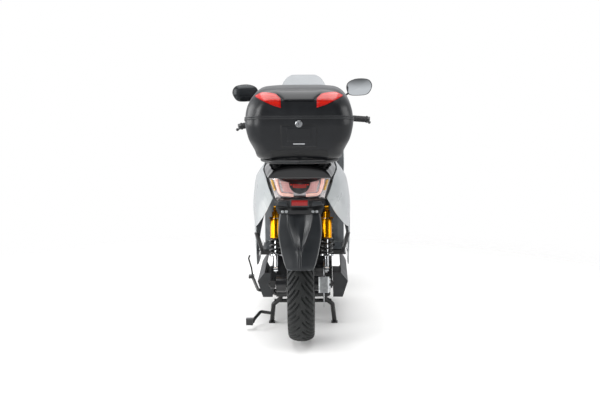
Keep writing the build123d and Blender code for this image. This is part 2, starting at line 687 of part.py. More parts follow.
def frame():
    """Welded tube frame with its head tube, pivots, lugs and pins."""
    head_low, head_high = steer_point(0, 0, head_tube_low), steer_point(0, 0, head_tube_high)
    tubes = rod(tuple(head_low), tuple(head_high), head_tube_radius)
    gusset = steer_point(0, 0, head_tube_low + 74)
    spine = [tuple(gusset), (0, ahead(1012), 690), (0, ahead(1008), 455), (0, ahead(986), 260), (0, ahead(956), rail_z)]
    tubes += pipe(spine, down_tube_radius, 40)
    tubes += cross_rod(rail_radius, -rail_x, rail_x, ahead(950), rail_z)
    tubes += cross_rod(12, -rail_x, rail_x, ahead(478), rail_z)
    right = side_tube([(rail_x, 950, rail_z), (rail_x, 480, rail_z), (rail_x, 446, 400), (rail_x, 350, 590),
                       (tail_rail_x, *tail_rail_start), (tail_rail_x, *tail_rail_end)], rail_radius - 2, 40)
    strut_x = bucket_half_width + 8 + seat_gap
    right += cross_rod(8, strut_x, rail_x, ahead(585), rail_z)
    for a in (690, 920):
        right += rod((rail_x, ahead(a), rail_z), (rail_x, ahead(a), floor_z - floor_thickness - seat_gap), 9)
    for a in (540, 870):
        right += block((-1, rail_x), (ahead(a), ahead(a + 18)), (147, battery_bottom_z - seat_gap))
        right += block((rail_x - 8, rail_x), (ahead(a), ahead(a + 18)), (147, rail_z))
    for a in (650, 830):
        right += block((rail_x, rail_x + 28 - seat_gap), (ahead(a), ahead(a + 14)), (cowl_bottom_z, cowl_bottom_z + 4))
        right += block((rail_x, rail_x + 6), (ahead(a), ahead(a + 14)), (cowl_bottom_z, rail_z))
    right += side_tube([(strut_x, 585, rail_z), (strut_x, 672, 672), (strut_x, seat_hinge_ahead, 690)], 8, 20)
    plate_low = arm_inner_x + arm_width + 0.6
    right += slab_x([(ahead(a), z) for a, z in ((470, 330), (470, 430), (390, 425), (318, 385), (318, 345), (392, 348))],
                    plate_low, plate_low + 8)
    right += cross_rod(11, rail_x, plate_low + 4, ahead(450), 380)
    right += cross_rod(11, rail_x, plate_low + 4, ahead(455), 345)
    right -= rod((plate_low - 1, ahead(arm_pivot_ahead), arm_pivot_z),
                 (plate_low + 9, ahead(arm_pivot_ahead), arm_pivot_z), pivot_bolt_radius)
    for low, high in ((peg_eye_half + running_gap, peg_eye_half + 7), (-peg_eye_half - 7, -peg_eye_half - running_gap)):
        lug = block((plate_low + 6, peg_hinge_x + 8), (ahead(peg_hinge_ahead) + low, ahead(peg_hinge_ahead) + high),
                    (peg_hinge_z - 10, peg_hinge_z + 10))
        right += lug
    right += rod((peg_hinge_x, ahead(peg_hinge_ahead) - peg_eye_half - 10, peg_hinge_z),
                 (peg_hinge_x, ahead(peg_hinge_ahead) + peg_eye_half + 10, peg_hinge_z), 4)
    hanger_x = tail_rail_x + 8
    right += slab_x([(ahead(a), z) for a, z in ((60, 585), (110, 585), (130, 672), (40, 680))], tail_rail_x, hanger_x)
    right += cross_rod(pin_radius, tail_rail_x + 2, shock_x + shock_eye_half + 4, ahead(shock_top_ahead), shock_top_z)
    stand_plate = stand_tube_half + running_gap
    right += slab_x([(ahead(a), z) for a, z in ((520, 192), (450, 192), (352, 168), (352, 139), (392, 139), (520, 172))],
                    stand_plate, stand_plate + 6)
    right += cross_rod(8, 60, stand_plate + 10, ahead(stand_pivot_ahead), stand_pivot_z)
    tubes += both_sides(right)
    for a, z in ((180, 654), (-60, 687), (-160, 700)):
        tubes += cross_rod(9, -tail_rail_x, tail_rail_x, ahead(a), z)
    tubes += cross_rod(8, -strut_x, strut_x, ahead(seat_hinge_ahead), 690)
    lug = block((40, 46), (ahead(seat_hinge_ahead - 6), ahead(seat_hinge_ahead + 6)), (690, seat_hinge_z))
    tubes += both_sides(lug + cross_rod(6, 40, 46, ahead(seat_hinge_ahead), seat_hinge_z))
    tubes += cross_rod(4, -46, 46, ahead(seat_hinge_ahead), seat_hinge_z)
    tubes += cross_rod(pivot_bolt_radius, -plate_low - 14, plate_low + 14, ahead(arm_pivot_ahead), arm_pivot_z)
    tubes -= rod(tuple(steer_point(0, 0, head_tube_low - 1)), tuple(steer_point(0, 0, head_tube_high + 1)), head_tube_bore)
    pivot = Vector(side_stand_pivot[0], ahead(side_stand_pivot[1]), side_stand_pivot[2])
    bolt = side_stand_axis() * 14
    tubes += rod(tuple(pivot + bolt * 0.2), tuple(pivot - bolt * 1.9), 6)
    tubes += rod(tuple(pivot + bolt * 0.5), tuple(pivot + bolt * 1.2), 16)
    tubes += slab_x([(pivot.Y - 34, rail_z), (pivot.Y + 34, rail_z), (pivot.Y + 16, pivot.Z - 12), (pivot.Y - 16, pivot.Z - 12)],
                    pivot.X + 12, pivot.X + 30)
    parts["frame"] = tubes


def side_stand_axis():
    """Unit vector along the side stand's pivot bolt."""
    tilt = radians(side_stand_tilt)
    return Vector(cos(tilt), 0, -sin(tilt))


def power_pack():
    """Battery between the floor rails and the controller on top of its front end."""
    battery = block((-bucket_half_width, bucket_half_width), (ahead(505), ahead(925)), (battery_bottom_z, battery_top_z))
    battery = chamfer(battery.edges().filter_by(Axis.Y), 8)
    controller = block((-70, 70), (ahead(655), ahead(800)), (battery_top_z + seat_gap, floor_z - floor_thickness - 2))
    parts["power_pack"] = group(battery, controller)


def bucket_outline(wall):
    """Side outline of the storage bucket, shrunk inwards by a wall, as (y, z) points."""
    points = [(375 + wall, 430 + wall), (440 + wall, 430 + wall), (440 + wall, 340 + wall), (628 - wall, 340 + wall),
              (682 - wall, 680), (375 + wall, 680)]
    return [(ahead(a), z) for a, z in points]


def storage_bucket():
    """Open tub under the seat."""
    tub = slab_x(bucket_outline(0), -bucket_half_width, bucket_half_width)
    inner = slab_x(bucket_outline(body_wall), -bucket_half_width + body_wall, bucket_half_width - body_wall)
    inner += Pos(0, 0, 10) * inner
    parts["storage_bucket"] = tub - inner


# ---------------------------------------------------------------- bodywork
def cowl_line(z):
    """The right half of the front cowl's outline at a height: four (x, ahead) points from the middle outwards."""
    stations = [
        (290, ((0, 1036), (70, 1035), (130, 1028), (shield_half_width, 985))),
        (600, ((0, 1042), (80, 1041), (140, 1034), (shield_half_width, 985))),
        (646, ((0, 1048), (80, 1046), (150, 1036), (shield_half_width, 988))),
        (712, ((0, 1188), (70, 1172), (140, 1100), (shield_half_width + 2, 990))),
        (764, ((0, 1288), (66, 1266), (140, 1176), (shield_half_width + 2, 995))),
        (840, ((0, 1314), (62, 1290), (130, 1190), (shield_half_width - 12, 1004))),
        (930, ((0, 1244), (60, 1228), (112, 1170), (shield_half_width - 38, 1014))),
    ]
    for (z0, low), (z1, high) in zip(stations, stations[1:]):
        if z <= z1:
            share = (z - z0) / (z1 - z0)
            return [(a[0] + (b[0] - a[0]) * share, a[1] + (b[1] - a[1]) * share) for a, b in zip(low, high)]
    return list(stations[-1][1])


def front_cowl():
    """Leg shield and nose in one shell, with a window for the headlamp."""
    stations = []
    for z in (290, 600, 646, 712, 764, 840, 930):
        half = [(x, ahead(a)) for x, a in cowl_line(z)]
        stations.append((z, mirrored_line(half)[::-1]))
    shell = skin(stations, body_wall, along_z)
    shell -= block((-lamp_half_width - 0.5, lamp_half_width + 0.5), (ahead(1180), ahead(1340)), (lamp_low_z - 0.5, lamp_high_z + 0.5))
    column = [tuple(steer_point(0, 0, height)) for height in (head_tube_low - 30, head_tube_low + 60)]
    shell -= rod(*column, head_tube_radius + 1)
    parts["front_cowl"] = shell
    face = [(-lamp_half_width, lamp_low_z + 22), (-lamp_half_width + 26, lamp_low_z), (lamp_half_width - 26, lamp_low_z),
            (lamp_half_width, lamp_low_z + 22), (lamp_half_width, lamp_high_z), (-lamp_half_width, lamp_high_z)]
    parts["headlamp"] = slab_y(face, ahead(1225), ahead(1304))


def windscreen():
    """Clear bent screen that stands on the nose."""
    stations = []
    for z, out in ((885, body_wall + 1.2), (930, body_wall + 1.2)):
        half = [(x * screen_spread, ahead(a) + out) for x, a in cowl_line(z)[:3]]
        stations.append((z, mirrored_line(half)[::-1]))
    for z, half in ((1040, ((0, 1192), (72, 1178), (140, 1122))), (1120, ((0, 1150), (66, 1138), (120, 1098))),
                    (1170, ((0, 1122), (40, 1116), (78, 1096)))):
        stations.append((z, mirrored_line([(x, ahead(a)) for x, a in half])[::-1]))
    parts["windscreen"] = skin(stations, body_wall, along_z)


def inner_shield():
    """Rider-side panel that closes the back of the leg shield."""
    stations = []
    for z, half_width in ((305, shield_half_width - 4), (560, shield_half_width - 4), (740, shield_half_width - 4), (812, 182)):
        half = [(0, ahead(958)), (90, ahead(958)), (half_width - 30, ahead(968)), (half_width, ahead(981.6))]
        stations.append((z, mirrored_line(half)))
    parts["inner_shield"] = skin(stations, body_wall, along_z)


def floorboard():
    """Foot deck with the riser in front of the storage bucket."""
    deck = block((-floor_half_width, floor_half_width), (ahead(640), ahead(954)), (floor_z - floor_thickness, floor_z))
    for a in range(700, 940, 30):
        for side in (-1, 1):
            rib = block((60, floor_half_width - 20), (ahead(a), ahead(a + 12)), (floor_z - 1, floor_z + 3))
            deck += rib if side > 0 else mirror_x(rib)
    riser = slab_x([(ahead(a), z) for a, z in ((640, floor_z - 4), (650, floor_z - 4), (708, 666), (699, 666))], -112, 112)
    parts["floorboard"] = deck + riser


def lower_cowls():
    """Cowls low on both sides of the battery."""
    line = [(rail_x + 28, cowl_bottom_z), (192, cowl_bottom_z), (sill_half_width - 7, 215), (184, 256)]
    front = [(rail_x + 28, cowl_bottom_z + 30), (184, cowl_bottom_z + 30), (sill_half_width - 14, 220), (184, 256)]
    outline_rear = line + [(rail_x + 28, 256)]
    right = skin([(ahead(350), line), (ahead(880), line), (ahead(955), front)], body_wall, along_y)
    right += slab_y(outline_rear, ahead(350) - 1, ahead(350) + 3)
    parts["right_lower_cowl"] = right
    parts["left_lower_cowl"] = mirror_x(right)


def side_panels():
    """Painted panels from the tail down to the floor on both sides, bottom edge first."""
    stations = [
        (-186, ((122, 694), (140, 745), (152, 788))),
        (-100, ((150, 624), (178, 705), (163, 812))),
        (50, ((195, 545), (207, 660), (156, 836))),
        (250, ((219, 496), (226, 620), (162, 786))),
        (344, ((221, 478), (226, 600), (161, 766))),
        (378, ((221, 262), (226, 540), (160, 758))),
        (600, ((222, 262), (214, 400), (134, 700))),
        (648, ((222, 262), (218, 318), (130, 668))),
    ]
    right = skin([(ahead(a), list(line)) for a, line in stations], body_wall, along_y)
    sill = [(ahead(648), [(222, 262), (222, 290), (218, 318)]), (ahead(950), [(222, 262), (224, 290), (216, 312)])]
    right += skin(sill, body_wall, along_y)
    parts["right_side_panel"] = right
    parts["left_side_panel"] = mirror_x(right)


def tail_cover():
    """Black cover over the tail, under the rack, with holes for the rack's posts."""
    stations = [
        (112, ((0, 848), (112, 846), (148, 838))),
        (-100, ((0, 848), (116, 842), (157, 818))),
        (-190, ((0, 848), (110, 838), (148, 798))),
        (-250, ((0, 846), (100, 832), (136, 792))),
    ]
    shell = skin([(ahead(a), mirrored_line(list(half))[::-1]) for a, half in stations], body_wall, along_y)
    half = [(0, 846), (100, 832), (136, 792)]
    shell += slab_y(mirrored_line(half)[::-1], ahead(-250), ahead(-250) + 3)
    for a in rack_post_places:
        for side in (-1, 1):
            shell -= rod((side * tail_rail_x, ahead(a), 700), (side * tail_rail_x, ahead(a), 900), rack_post_radius + 0.5)
    parts["tail_cover"] = shell


def tail_lights():
    """Tail light, undertail with the plate holder, red reflector and rear mudguard."""
    lens = [(-tail_light_top, 786), (-tail_light_top * 0.8, 696), (tail_light_top * 0.8, 696), (tail_light_top, 786)]
    narrow = [(x * 0.9, z) for x, z in lens]
    parts["taillight"] = ruled([(ahead(-252), narrow), (ahead(-232), lens), (ahead(-190), lens)], along_y)
    tray = [(-tail_light_top * 0.8, 695.7), (-98, 632), (98, 632), (tail_light_top * 0.8, 695.7)]
    hollow = [(-tail_light_top * 0.8 + 4, 692.7), (-94, 635), (94, 635), (tail_light_top * 0.8 - 4, 692.7)]
    front_y = ahead(tail_rail_end[0]) - (rail_radius - 2) * tail_rail_slope - seat_gap
    holder = slab_y(tray, ahead(-262), front_y) - slab_y(hollow, ahead(-259), front_y + 1)
    for side in (-1, 1):
        hole_x = side * plate_hole_spacing / 2
        holder -= rod((hole_x, ahead(-270), plate_hole_z), (hole_x, ahead(-255), plate_hole_z), plate_hole_radius)
    parts["undertail"] = holder
    parts["red_reflector"] = block((-39.5, 39.5), (ahead(-268), ahead(-262) - seat_gap), (667, 700))
    stations = []
    for z, middle, half in ((631.6, -228, 97), (540, -266, 92), (470, -284, 80), (392, -299, 62)):
        line = [(0, ahead(middle)), (half * 0.45, ahead(middle + 2)), (half, ahead(middle + 28))]
        stations.append((z, mirrored_line(line)))
    parts["rear_fender"] = skin(stations, body_wall, along_z)


def tail_rail_top(distance):
    """The height of the tail rails' upper side at a distance ahead of the rear axle."""
    centre = tail_rail_start[1] + (tail_rail_start[0] - distance) * tail_rail_slope
    return centre + rail_radius - 2 + rack_post_radius * tail_rail_slope + seat_gap


def rack():
    """Top plate on four posts with the grab rail round the back."""
    outline = [(-141, -120), (-120, -210), (-60, -258), (60, -258), (120, -210), (141, -120), (130, 20), (90, 84),
               (-90, 84), (-130, 20)]
    plate = slab_z([(x, ahead(a)) for x, a in outline], rack_top_z - 18, rack_top_z)
    for a in rack_post_places:
        for side in (-1, 1):
            plate += rod((side * tail_rail_x, ahead(a), tail_rail_top(a)), (side * tail_rail_x, ahead(a), rack_top_z - 10), rack_post_radius)
    rail = [(112, 66, 864), (158, 20, 864), (162, -170, 862), (118, -268, 862), (0, -282, 862)]
    right = side_tube(rail, 9, 30)
    plate += both_sides(right)
    for x, low, high in ((100, -226, -180), (0, -284, -250)):
        strap = block((x - 11, x + 11), (ahead(low), ahead(high)), (rack_top_z - 16, rack_top_z - 6))
        plate += both_sides(strap)
    parts["rack"] = plate


# ---------------------------------------------------------------- top case
def case_body(grow):
    """The closed top case, grown outwards by a distance, as a stack of rounded rectangles."""
    stations = [
        (rack_top_z + seat_gap - grow, 180, 350, 52), (905, 190, 372, 60), (960, 220, 394, 66), (1022, 236, 410, 72),
        (1090, 226, 404, 76), (1140, 200, 372, 72), (1166, 172, 322, 66), (1176 + grow, 138, 262, 56),
    ]
    faces = []
    for z, half_width, depth, corner in stations:
        outline = RectangleRounded(2 * (half_width + grow), depth + 2 * grow, corner + grow)
        faces.append(Pos(0, ahead(case_centre_ahead), z) * outline)
    return loft(faces, ruled=True)


def seam_tool(shift):
    """Everything above the top case's sloping seam, raised by a distance."""
    slope = degrees(atan2(case_seam_rear_z - case_seam_front_z, 410.0))
    middle = (case_seam_rear_z + case_seam_front_z) / 2
    big = Pos(0, 0, 300) * Box(700, 900, 600)
    return Pos(0, ahead(case_centre_ahead), middle + shift) * Rot(-slope, 0, 0) * big


def top_case():
    """Lower shell, lid, lid reflectors, hinge and lock."""
    shell = case_body(0) - case_body(-case_wall)
    lower = shell - seam_tool(0)
    lid = shell & seam_tool(seam_gap)
    hinge_y, hinge_z = ahead(case_hinge_ahead), case_hinge_z
    for side in (-1, 1):
        knuckle = cross_rod(lid_hinge_radius + 4, 52, 66, hinge_y, hinge_z)
        knuckle += block((52, 66), (ahead(106), hinge_y), (hinge_z - 8, hinge_z + 1))
        ear = cross_rod(lid_hinge_radius + 4, 30, 51, hinge_y, hinge_z)
        ear += block((30, 51), (ahead(106), hinge_y + 2), (hinge_z + 5.5, hinge_z + 11))
        ear -= cross_rod(lid_hinge_radius + bearing_gap, 20, 60, hinge_y, hinge_z)
        lower += knuckle if side > 0 else mirror_x(knuckle)
        lid += ear if side > 0 else mirror_x(ear)
    lower += cross_rod(lid_hinge_radius, -66, 66, hinge_y, hinge_z)
    rear_y = ahead(case_centre_ahead - 205)
    lower += rod((0, rear_y + 2, lock_z), (0, rear_y + 22, lock_z), lock_radius + 5)
    lower -= rod((0, rear_y - 20, lock_z), (0, rear_y + 16, lock_z), lock_radius + running_gap)
    parts["box_shell"] = lower
    parts["box_lid"] = lid
    lock = rod((0, rear_y - 3, lock_z), (0, rear_y + 15, lock_z), lock_radius)
    lock -= block((-1.6, 1.6), (rear_y - 4, rear_y + 2), (lock_z - 8, lock_z + 8))
    parts["box_lock"] = lock
    layer = case_body(seat_gap + 2.5) - case_body(seat_gap)
    outline = [(-188, 1150), (-101, 1155), (-77, 1132), (-76, 1094), (-118, 1105)]
    window = slab_y(outline, ahead(-330), ahead(-180))
    left = layer & window
    parts["box_reflectors"] = group(left, mirror_x(left))


# ---------------------------------------------------------------- seat
def seat():
    """Cushion for two on a pan that hinges at its front edge."""
    def section(half_width, low, high, shoulder):
        return [(-half_width, low), (half_width, low), (half_width + 4, high - shoulder), (half_width - 30, high - 6),
                (0, high), (-half_width + 30, high - 6), (-half_width - 4, high - shoulder)]

    stations = [
        (132, section(112, 800, 838, 22)), (170, section(130, 792, 852, 26)), (330, section(140, 768, 850, 28)),
        (400, section(140, 757, 812, 24)), (540, section(130, 738, 802, 26)), (670, section(100, 728, 792, 26)),
        (738, section(62, 724, 764, 18)),
    ]
    parts["seat_cushion"] = ruled([(ahead(a), line) for a, line in stations], along_y)
    hinge_y = ahead(seat_hinge_ahead)
    pan_top = [(ahead(a), line[0][1] - seat_gap) for a, line in stations]
    pan_low = [(y, z - 12) for y, z in pan_top[::-1]]
    wide = [(-58, 738), (58, 738), (92, 670), (122, 540), (132, 400), (132, 330), (122, 170), (104, 136), (-104, 136),
            (-122, 170), (-132, 330), (-132, 400), (-122, 540), (-92, 670)]
    sheet = slab_x(pan_top + pan_low, -140, 140)
    pan = sheet & slab_z([(x, ahead(a)) for x, a in wide], 600, 900)
    eye = 7.5
    ear = slab_x([(hinge_y - 14, seat_hinge_z + 12), (hinge_y + 14, seat_hinge_z + 12), (hinge_y + eye, seat_hinge_z),
                  (hinge_y - eye, seat_hinge_z)], 28, 39.6)
    ear += cross_rod(eye, 28, 39.6, hinge_y, seat_hinge_z)
    pan += both_sides(ear)
    pan -= cross_rod(4 + bearing_gap, -60, 60, hinge_y, seat_hinge_z)
    parts["seat_pan"] = pan


# ---------------------------------------------------------------- stands and pegs
def centre_stand():
    """Two legs on a pivot tube with a brace, feet and a tang on the left."""
    top = (stand_tube_half - 14, ahead(stand_pivot_ahead), stand_pivot_z)
    drop = (stand_tube_half - 13, ahead(stand_pivot_ahead + 6), stand_pivot_z - 26)
    knee = (stand_foot_x - 9, ahead(stand_pivot_ahead + 13), stand_pivot_z - 54)
    foot = (stand_foot_x, ahead(stand_foot_ahead), 8)
    leg = pipe([top, drop, knee, foot], stand_leg_radius, 12)
    leg += block((stand_foot_x - 15, stand_foot_x + 15), (ahead(stand_foot_ahead - 20), ahead(stand_foot_ahead + 18)), (0, 7))
    body = both_sides(leg) + cross_rod(15, -stand_tube_half, stand_tube_half, ahead(stand_pivot_ahead), stand_pivot_z)
    body += cross_rod(9, -stand_foot_x + 14, stand_foot_x - 14, ahead(stand_pivot_ahead + 9), stand_pivot_z - 36)
    tang = [(-stand_foot_x + 3, ahead(stand_foot_ahead - 12), 48), (-204, ahead(352), 66), (-232, ahead(292), 44),
            (-236, ahead(250), 40)]
    body += pipe(tang, 7.5, 24)
    body += block((-269, -236), (ahead(236), ahead(268)), (26, 56))
    body -= cross_rod(8 + running_gap, 58, stand_tube_half + 1, ahead(stand_pivot_ahead), stand_pivot_z)
    body -= cross_rod(8 + running_gap, -stand_tube_half - 1, -58, ahead(stand_pivot_ahead), stand_pivot_z)
    parts["centre_stand"] = body


def side_stand():
    """Prop stand folded up along the left side, with its foot and hooked tang."""
    x, a, z = side_stand_pivot
    pivot = Vector(x, ahead(a), z)
    bolt = side_stand_axis() * 14
    leg = pipe([(x - 6, ahead(a), z + 2), (-228, ahead(588), 122), (-244, ahead(404), 226)], 8, 22)
    leg += rod(tuple(pivot - bolt * 0.7), tuple(pivot + bolt * 0.45), 16)
    leg -= rod(tuple(pivot + bolt * 2), tuple(pivot - bolt * 2.2), 6 + running_gap)
    leg += block((-262, -236), (ahead(382), ahead(420)), (222, 236))
    hook = [(-243, ahead(448), 201), (-250, ahead(420), 268), (-262, ahead(400), 318), (-256, ahead(392), 334)]
    leg += pipe(hook, 4, 12)
    parts["side_stand"] = leg


def pegs():
    """Passenger pegs folded up beside the tail."""
    y = ahead(peg_hinge_ahead)
    eye = rod((0, -peg_eye_half, 0), (0, peg_eye_half, 0), 9) - rod((0, -20, 0), (0, 20, 0), 4 + bearing_gap)
    arm = block((-7, 7), (-peg_eye_half, peg_eye_half), (6, 26))
    tread = block((-9, 9), (-17, 17), (24, peg_length))
    tread = chamfer(tread.edges().filter_by(Axis.Z), 5)
    peg = Pos(peg_hinge_x, y, peg_hinge_z) * Rot(0, peg_lean, 0) * (eye + arm + tread)
    peg -= rod((peg_hinge_x, y - 20, peg_hinge_z), (peg_hinge_x, y + 20, peg_hinge_z), 4 + bearing_gap)
    parts["right_peg"] = peg
    parts["left_peg"] = mirror_x(peg)


# ---------------------------------------------------------------- build
def build():
    """Makes every sub-part and writes one STEP file for each."""
    for make in (rear_wheel, front_wheel, fork, front_fender, handlebar, handlebar_cover, grips_and_controls, mirrors,
                 swingarm, drive_unit, rear_caliper, shocks, frame, power_pack, storage_bucket, front_cowl,
                 windscreen, inner_shield, floorboard, lower_cowls, side_panels, tail_cover, tail_lights, rack,
                 top_case, seat, centre_stand, side_stand, pegs):
        make()
    os.makedirs("parts", exist_ok=True)
    for name, shape in parts.items():
        export_step(shape, f"parts/{name}.step")


build()
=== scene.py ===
"""Looks of an electric moped scooter with a top case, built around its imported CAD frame.

Lengths in the tables are millimetres: x to the right, "ahead" from the rear axle, z above the ground.
Objects are in metres, +Y forwards and +Z up.
"""

import json
import logging
from collections.abc import Iterator, Sequence
from contextlib import contextmanager
from dataclasses import dataclass
from enum import Enum
from math import cos, hypot, pi, radians, sin

import bpy
import numpy as np
from mathutils import Matrix, Vector


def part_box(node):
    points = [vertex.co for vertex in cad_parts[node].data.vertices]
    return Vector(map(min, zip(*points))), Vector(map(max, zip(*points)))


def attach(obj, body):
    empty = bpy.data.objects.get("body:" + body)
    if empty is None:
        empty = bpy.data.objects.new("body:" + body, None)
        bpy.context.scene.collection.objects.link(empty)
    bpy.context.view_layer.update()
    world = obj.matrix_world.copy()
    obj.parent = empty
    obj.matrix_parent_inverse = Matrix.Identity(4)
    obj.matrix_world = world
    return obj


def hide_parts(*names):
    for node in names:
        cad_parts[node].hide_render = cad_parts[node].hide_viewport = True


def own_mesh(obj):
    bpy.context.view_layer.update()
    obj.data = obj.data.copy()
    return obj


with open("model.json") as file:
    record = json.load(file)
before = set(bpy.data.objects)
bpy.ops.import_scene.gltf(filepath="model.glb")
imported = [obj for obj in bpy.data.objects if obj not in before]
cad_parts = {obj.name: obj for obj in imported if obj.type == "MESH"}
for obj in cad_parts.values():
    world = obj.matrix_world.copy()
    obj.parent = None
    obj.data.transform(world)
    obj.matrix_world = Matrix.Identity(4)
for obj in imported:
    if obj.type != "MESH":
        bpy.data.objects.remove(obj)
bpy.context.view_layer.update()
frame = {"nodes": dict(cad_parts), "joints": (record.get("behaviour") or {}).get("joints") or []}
LOG = logging.getLogger("scooter")
MM = 0.001
Row = Sequence[float]


# ---------------------------------------------------------------- places
def node_centre(node: str) -> Vector:
    """The middle of a CAD node's box."""
    low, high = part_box(node)
    return (low + high) / 2


AXLE = node_centre("rear_disc")
JOINTS = {joint["name"]: joint for joint in frame["joints"]}


def at(x: float, ahead: float, z: float) -> Vector:
    """A point from millimetres right of the middle, ahead of the rear axle and above the ground."""
    return Vector((x * MM, AXLE.y + ahead * MM, z * MM))


def rows_at(stations: Sequence[tuple[float, Sequence[Row]]]) -> np.ndarray:
    """Lines of (x, z) points, each at a distance ahead of the rear axle, as an array of points.

    Args:
        stations: Pairs of a distance ahead and a line of (x, z) points, in millimetres.

    Returns:
        An array of shape (stations, points, 3) in metres.
    """
    return np.array([[at(x, ahead, z) for x, z in line] for ahead, line in stations])


def steering_matrix() -> Matrix:
    """The matrix from steering coordinates (right, forward, up the axis) to the part's frame, in metres."""
    up = Vector(JOINTS["steering"]["axis"]).normalized()
    across = Vector(JOINTS["front_wheel_spin"]["axis"]).normalized()
    across = across if across.x > 0 else -across
    forward = up.cross(across).normalized()
    matrix = Matrix((across, forward, up)).transposed().to_4x4()
    matrix.translation = Vector(JOINTS["steering"]["pos_m"])
    return matrix


STEERING = steering_matrix()


# ---------------------------------------------------------------- curves and meshes
def curve(values: Sequence, count: int, along: Sequence[float] | None = None) -> np.ndarray:
    """A smooth run through values that never overshoots them (a monotone cubic).

    Args:
        values: Points or lines of points, in order.
        count: How many values to return.
        along: Where each value lies on the run. Its chord length, if not given.

    Returns:
        An array of that many values, evenly spaced along the run.
    """
    known = np.asarray(values, float)
    flat = known.reshape(len(known), -1)
    if along is None:
        along = np.concatenate([[0], np.cumsum(np.linalg.norm(np.diff(flat, axis=0), axis=1))])
    place = np.asarray(along, float)
    step = np.diff(place)[:, None]
    slope = np.diff(flat, axis=0) / step
    tangent = np.zeros_like(flat)
    tangent[0], tangent[-1] = slope[0], slope[-1]
    if len(flat) > 2:
        near, far = 2 * step[1:] + step[:-1], step[1:] + 2 * step[:-1]
        with np.errstate(divide="ignore", invalid="ignore"):
            mean = (near + far) / (near / slope[:-1] + far / slope[1:])
        tangent[1:-1] = np.where(slope[:-1] * slope[1:] > 0, np.nan_to_num(mean), 0)
    wanted = np.linspace(place[0], place[-1], count)
    left = np.clip(np.searchsorted(place, wanted, side="right") - 1, 0, len(place) - 2)
    width = step[left]
    s = ((wanted - place[left])[:, None]) / width
    result = (
        (2 * s**3 - 3 * s**2 + 1) * flat[left] + (s**3 - 2 * s**2 + s) * width * tangent[left]
        + (3 * s**2 - 2 * s**3) * flat[left + 1] + (s**3 - s**2) * width * tangent[left + 1]
    )
    return result.reshape(count, *known.shape[1:])


def loft(sections: np.ndarray, across: int, along: int) -> np.ndarray:
    """A dense grid of points through lines of points.

    Args:
        sections: Lines of points, in order, shape (lines, points, 3).
        across: Points on each line of the result.
        along: Lines in the result.

    Returns:
        An array of shape (along, across, 3).
    """
    dense = np.array([curve(line, across) for line in sections])
    middles = dense.mean(axis=1)
    place = np.concatenate([[0], np.cumsum(np.linalg.norm(np.diff(middles, axis=0), axis=1))])
    return curve(dense, along, place)


def mirrored(half: Sequence[Row]) -> list[Row]:
    """A line of (x, ...) points from the middle outwards, with its mirror image put before it."""
    return [(-p[0], *p[1:]) for p in reversed(half) if p[0] > 0] + list(half)


def deselect() -> None:
    """Leaves object mode ready for a new primitive, with nothing selected."""
    for other in bpy.context.selected_objects:
        other.select_set(False)


def pick(obj: bpy.types.Object) -> None:
    """Makes one object the only selected one and the active one."""
    deselect()
    obj.select_set(True)
    bpy.context.view_layer.objects.active = obj


@contextmanager
def editing(obj: bpy.types.Object) -> Iterator[None]:
    """Edit mode on an object with everything selected, left again afterwards."""
    pick(obj)
    bpy.ops.object.mode_set(mode="EDIT")
    bpy.ops.mesh.select_all(action="SELECT")
    try:
        yield
    finally:
        bpy.ops.object.mode_set(mode="OBJECT")


def modify(obj: bpy.types.Object, kind: str, **settings: object) -> None:
    """Adds a modifier with its settings and applies it."""
    pick(obj)
    modifier = obj.modifiers.new(kind.title(), kind)
    for key, value in settings.items():
        setattr(modifier, key, value)
    bpy.ops.object.modifier_apply(modifier=modifier.name)


def keep_place(obj: bpy.types.Object, name: str) -> bpy.types.Object:
    """Names a piece and moves its place, turn and size into its mesh."""
    pick(obj)
    bpy.ops.object.transform_apply(location=True, rotation=True, scale=True)
    obj.name = name
    obj.data.name = name
    return obj


def grid(name: str, rows: np.ndarray, seam: bool = False) -> bpy.types.Object:
    """A sheet of quads from a primitive grid whose points are moved to an array of places.

    Args:
        name: The object's name.
        rows: Points, shape (rows, columns, 3), in metres.
        seam: Whether edges that meet are joined.

    Returns:
        The new object.
    """
    count, width = rows.shape[:2]
    deselect()
    bpy.ops.mesh.primitive_grid_add(x_subdivisions=width - 1, y_subdivisions=count - 1, size=1)
    obj = bpy.context.object
    obj.name = obj.data.name = name
    obj.data.vertices.foreach_set("co", np.ascontiguousarray(rows, np.float32).reshape(-1))
    obj.data.update()
    if seam:
        with editing(obj):
            bpy.ops.mesh.remove_doubles(threshold=2e-5)
    return obj


def face_away(obj: bpy.types.Object, inside: Vector) -> None:
    """Turns an open sheet's faces away from a point inside the shape."""
    total = sum(face.area * face.normal.dot(face.center - inside) for face in obj.data.polygons)
    if total < 0:
        with editing(obj):
            bpy.ops.mesh.flip_normals()


def walled(obj: bpy.types.Object, inside: Vector, wall: float, rim: float = 0.4) -> bpy.types.Object:
    """Gives a sheet its wall inwards and softens its rims.

    Args:
        obj: The sheet.
        inside: A point on the inner side of the sheet.
        wall: Wall thickness, in millimetres.
        rim: Width of the softened edges, in millimetres.
    """
    face_away(obj, inside)
    modify(obj, "SOLIDIFY", thickness=wall * MM, offset=-1.0, use_even_offset=True)
    if rim:
        modify(obj, "BEVEL", width=rim * MM, segments=2, limit_method="ANGLE", angle_limit=radians(50))
    return obj


def recalculated(obj: bpy.types.Object) -> bpy.types.Object:
    """Points a closed shape's faces outwards."""
    with editing(obj):
        bpy.ops.mesh.normals_make_consistent(inside=False)
    return obj


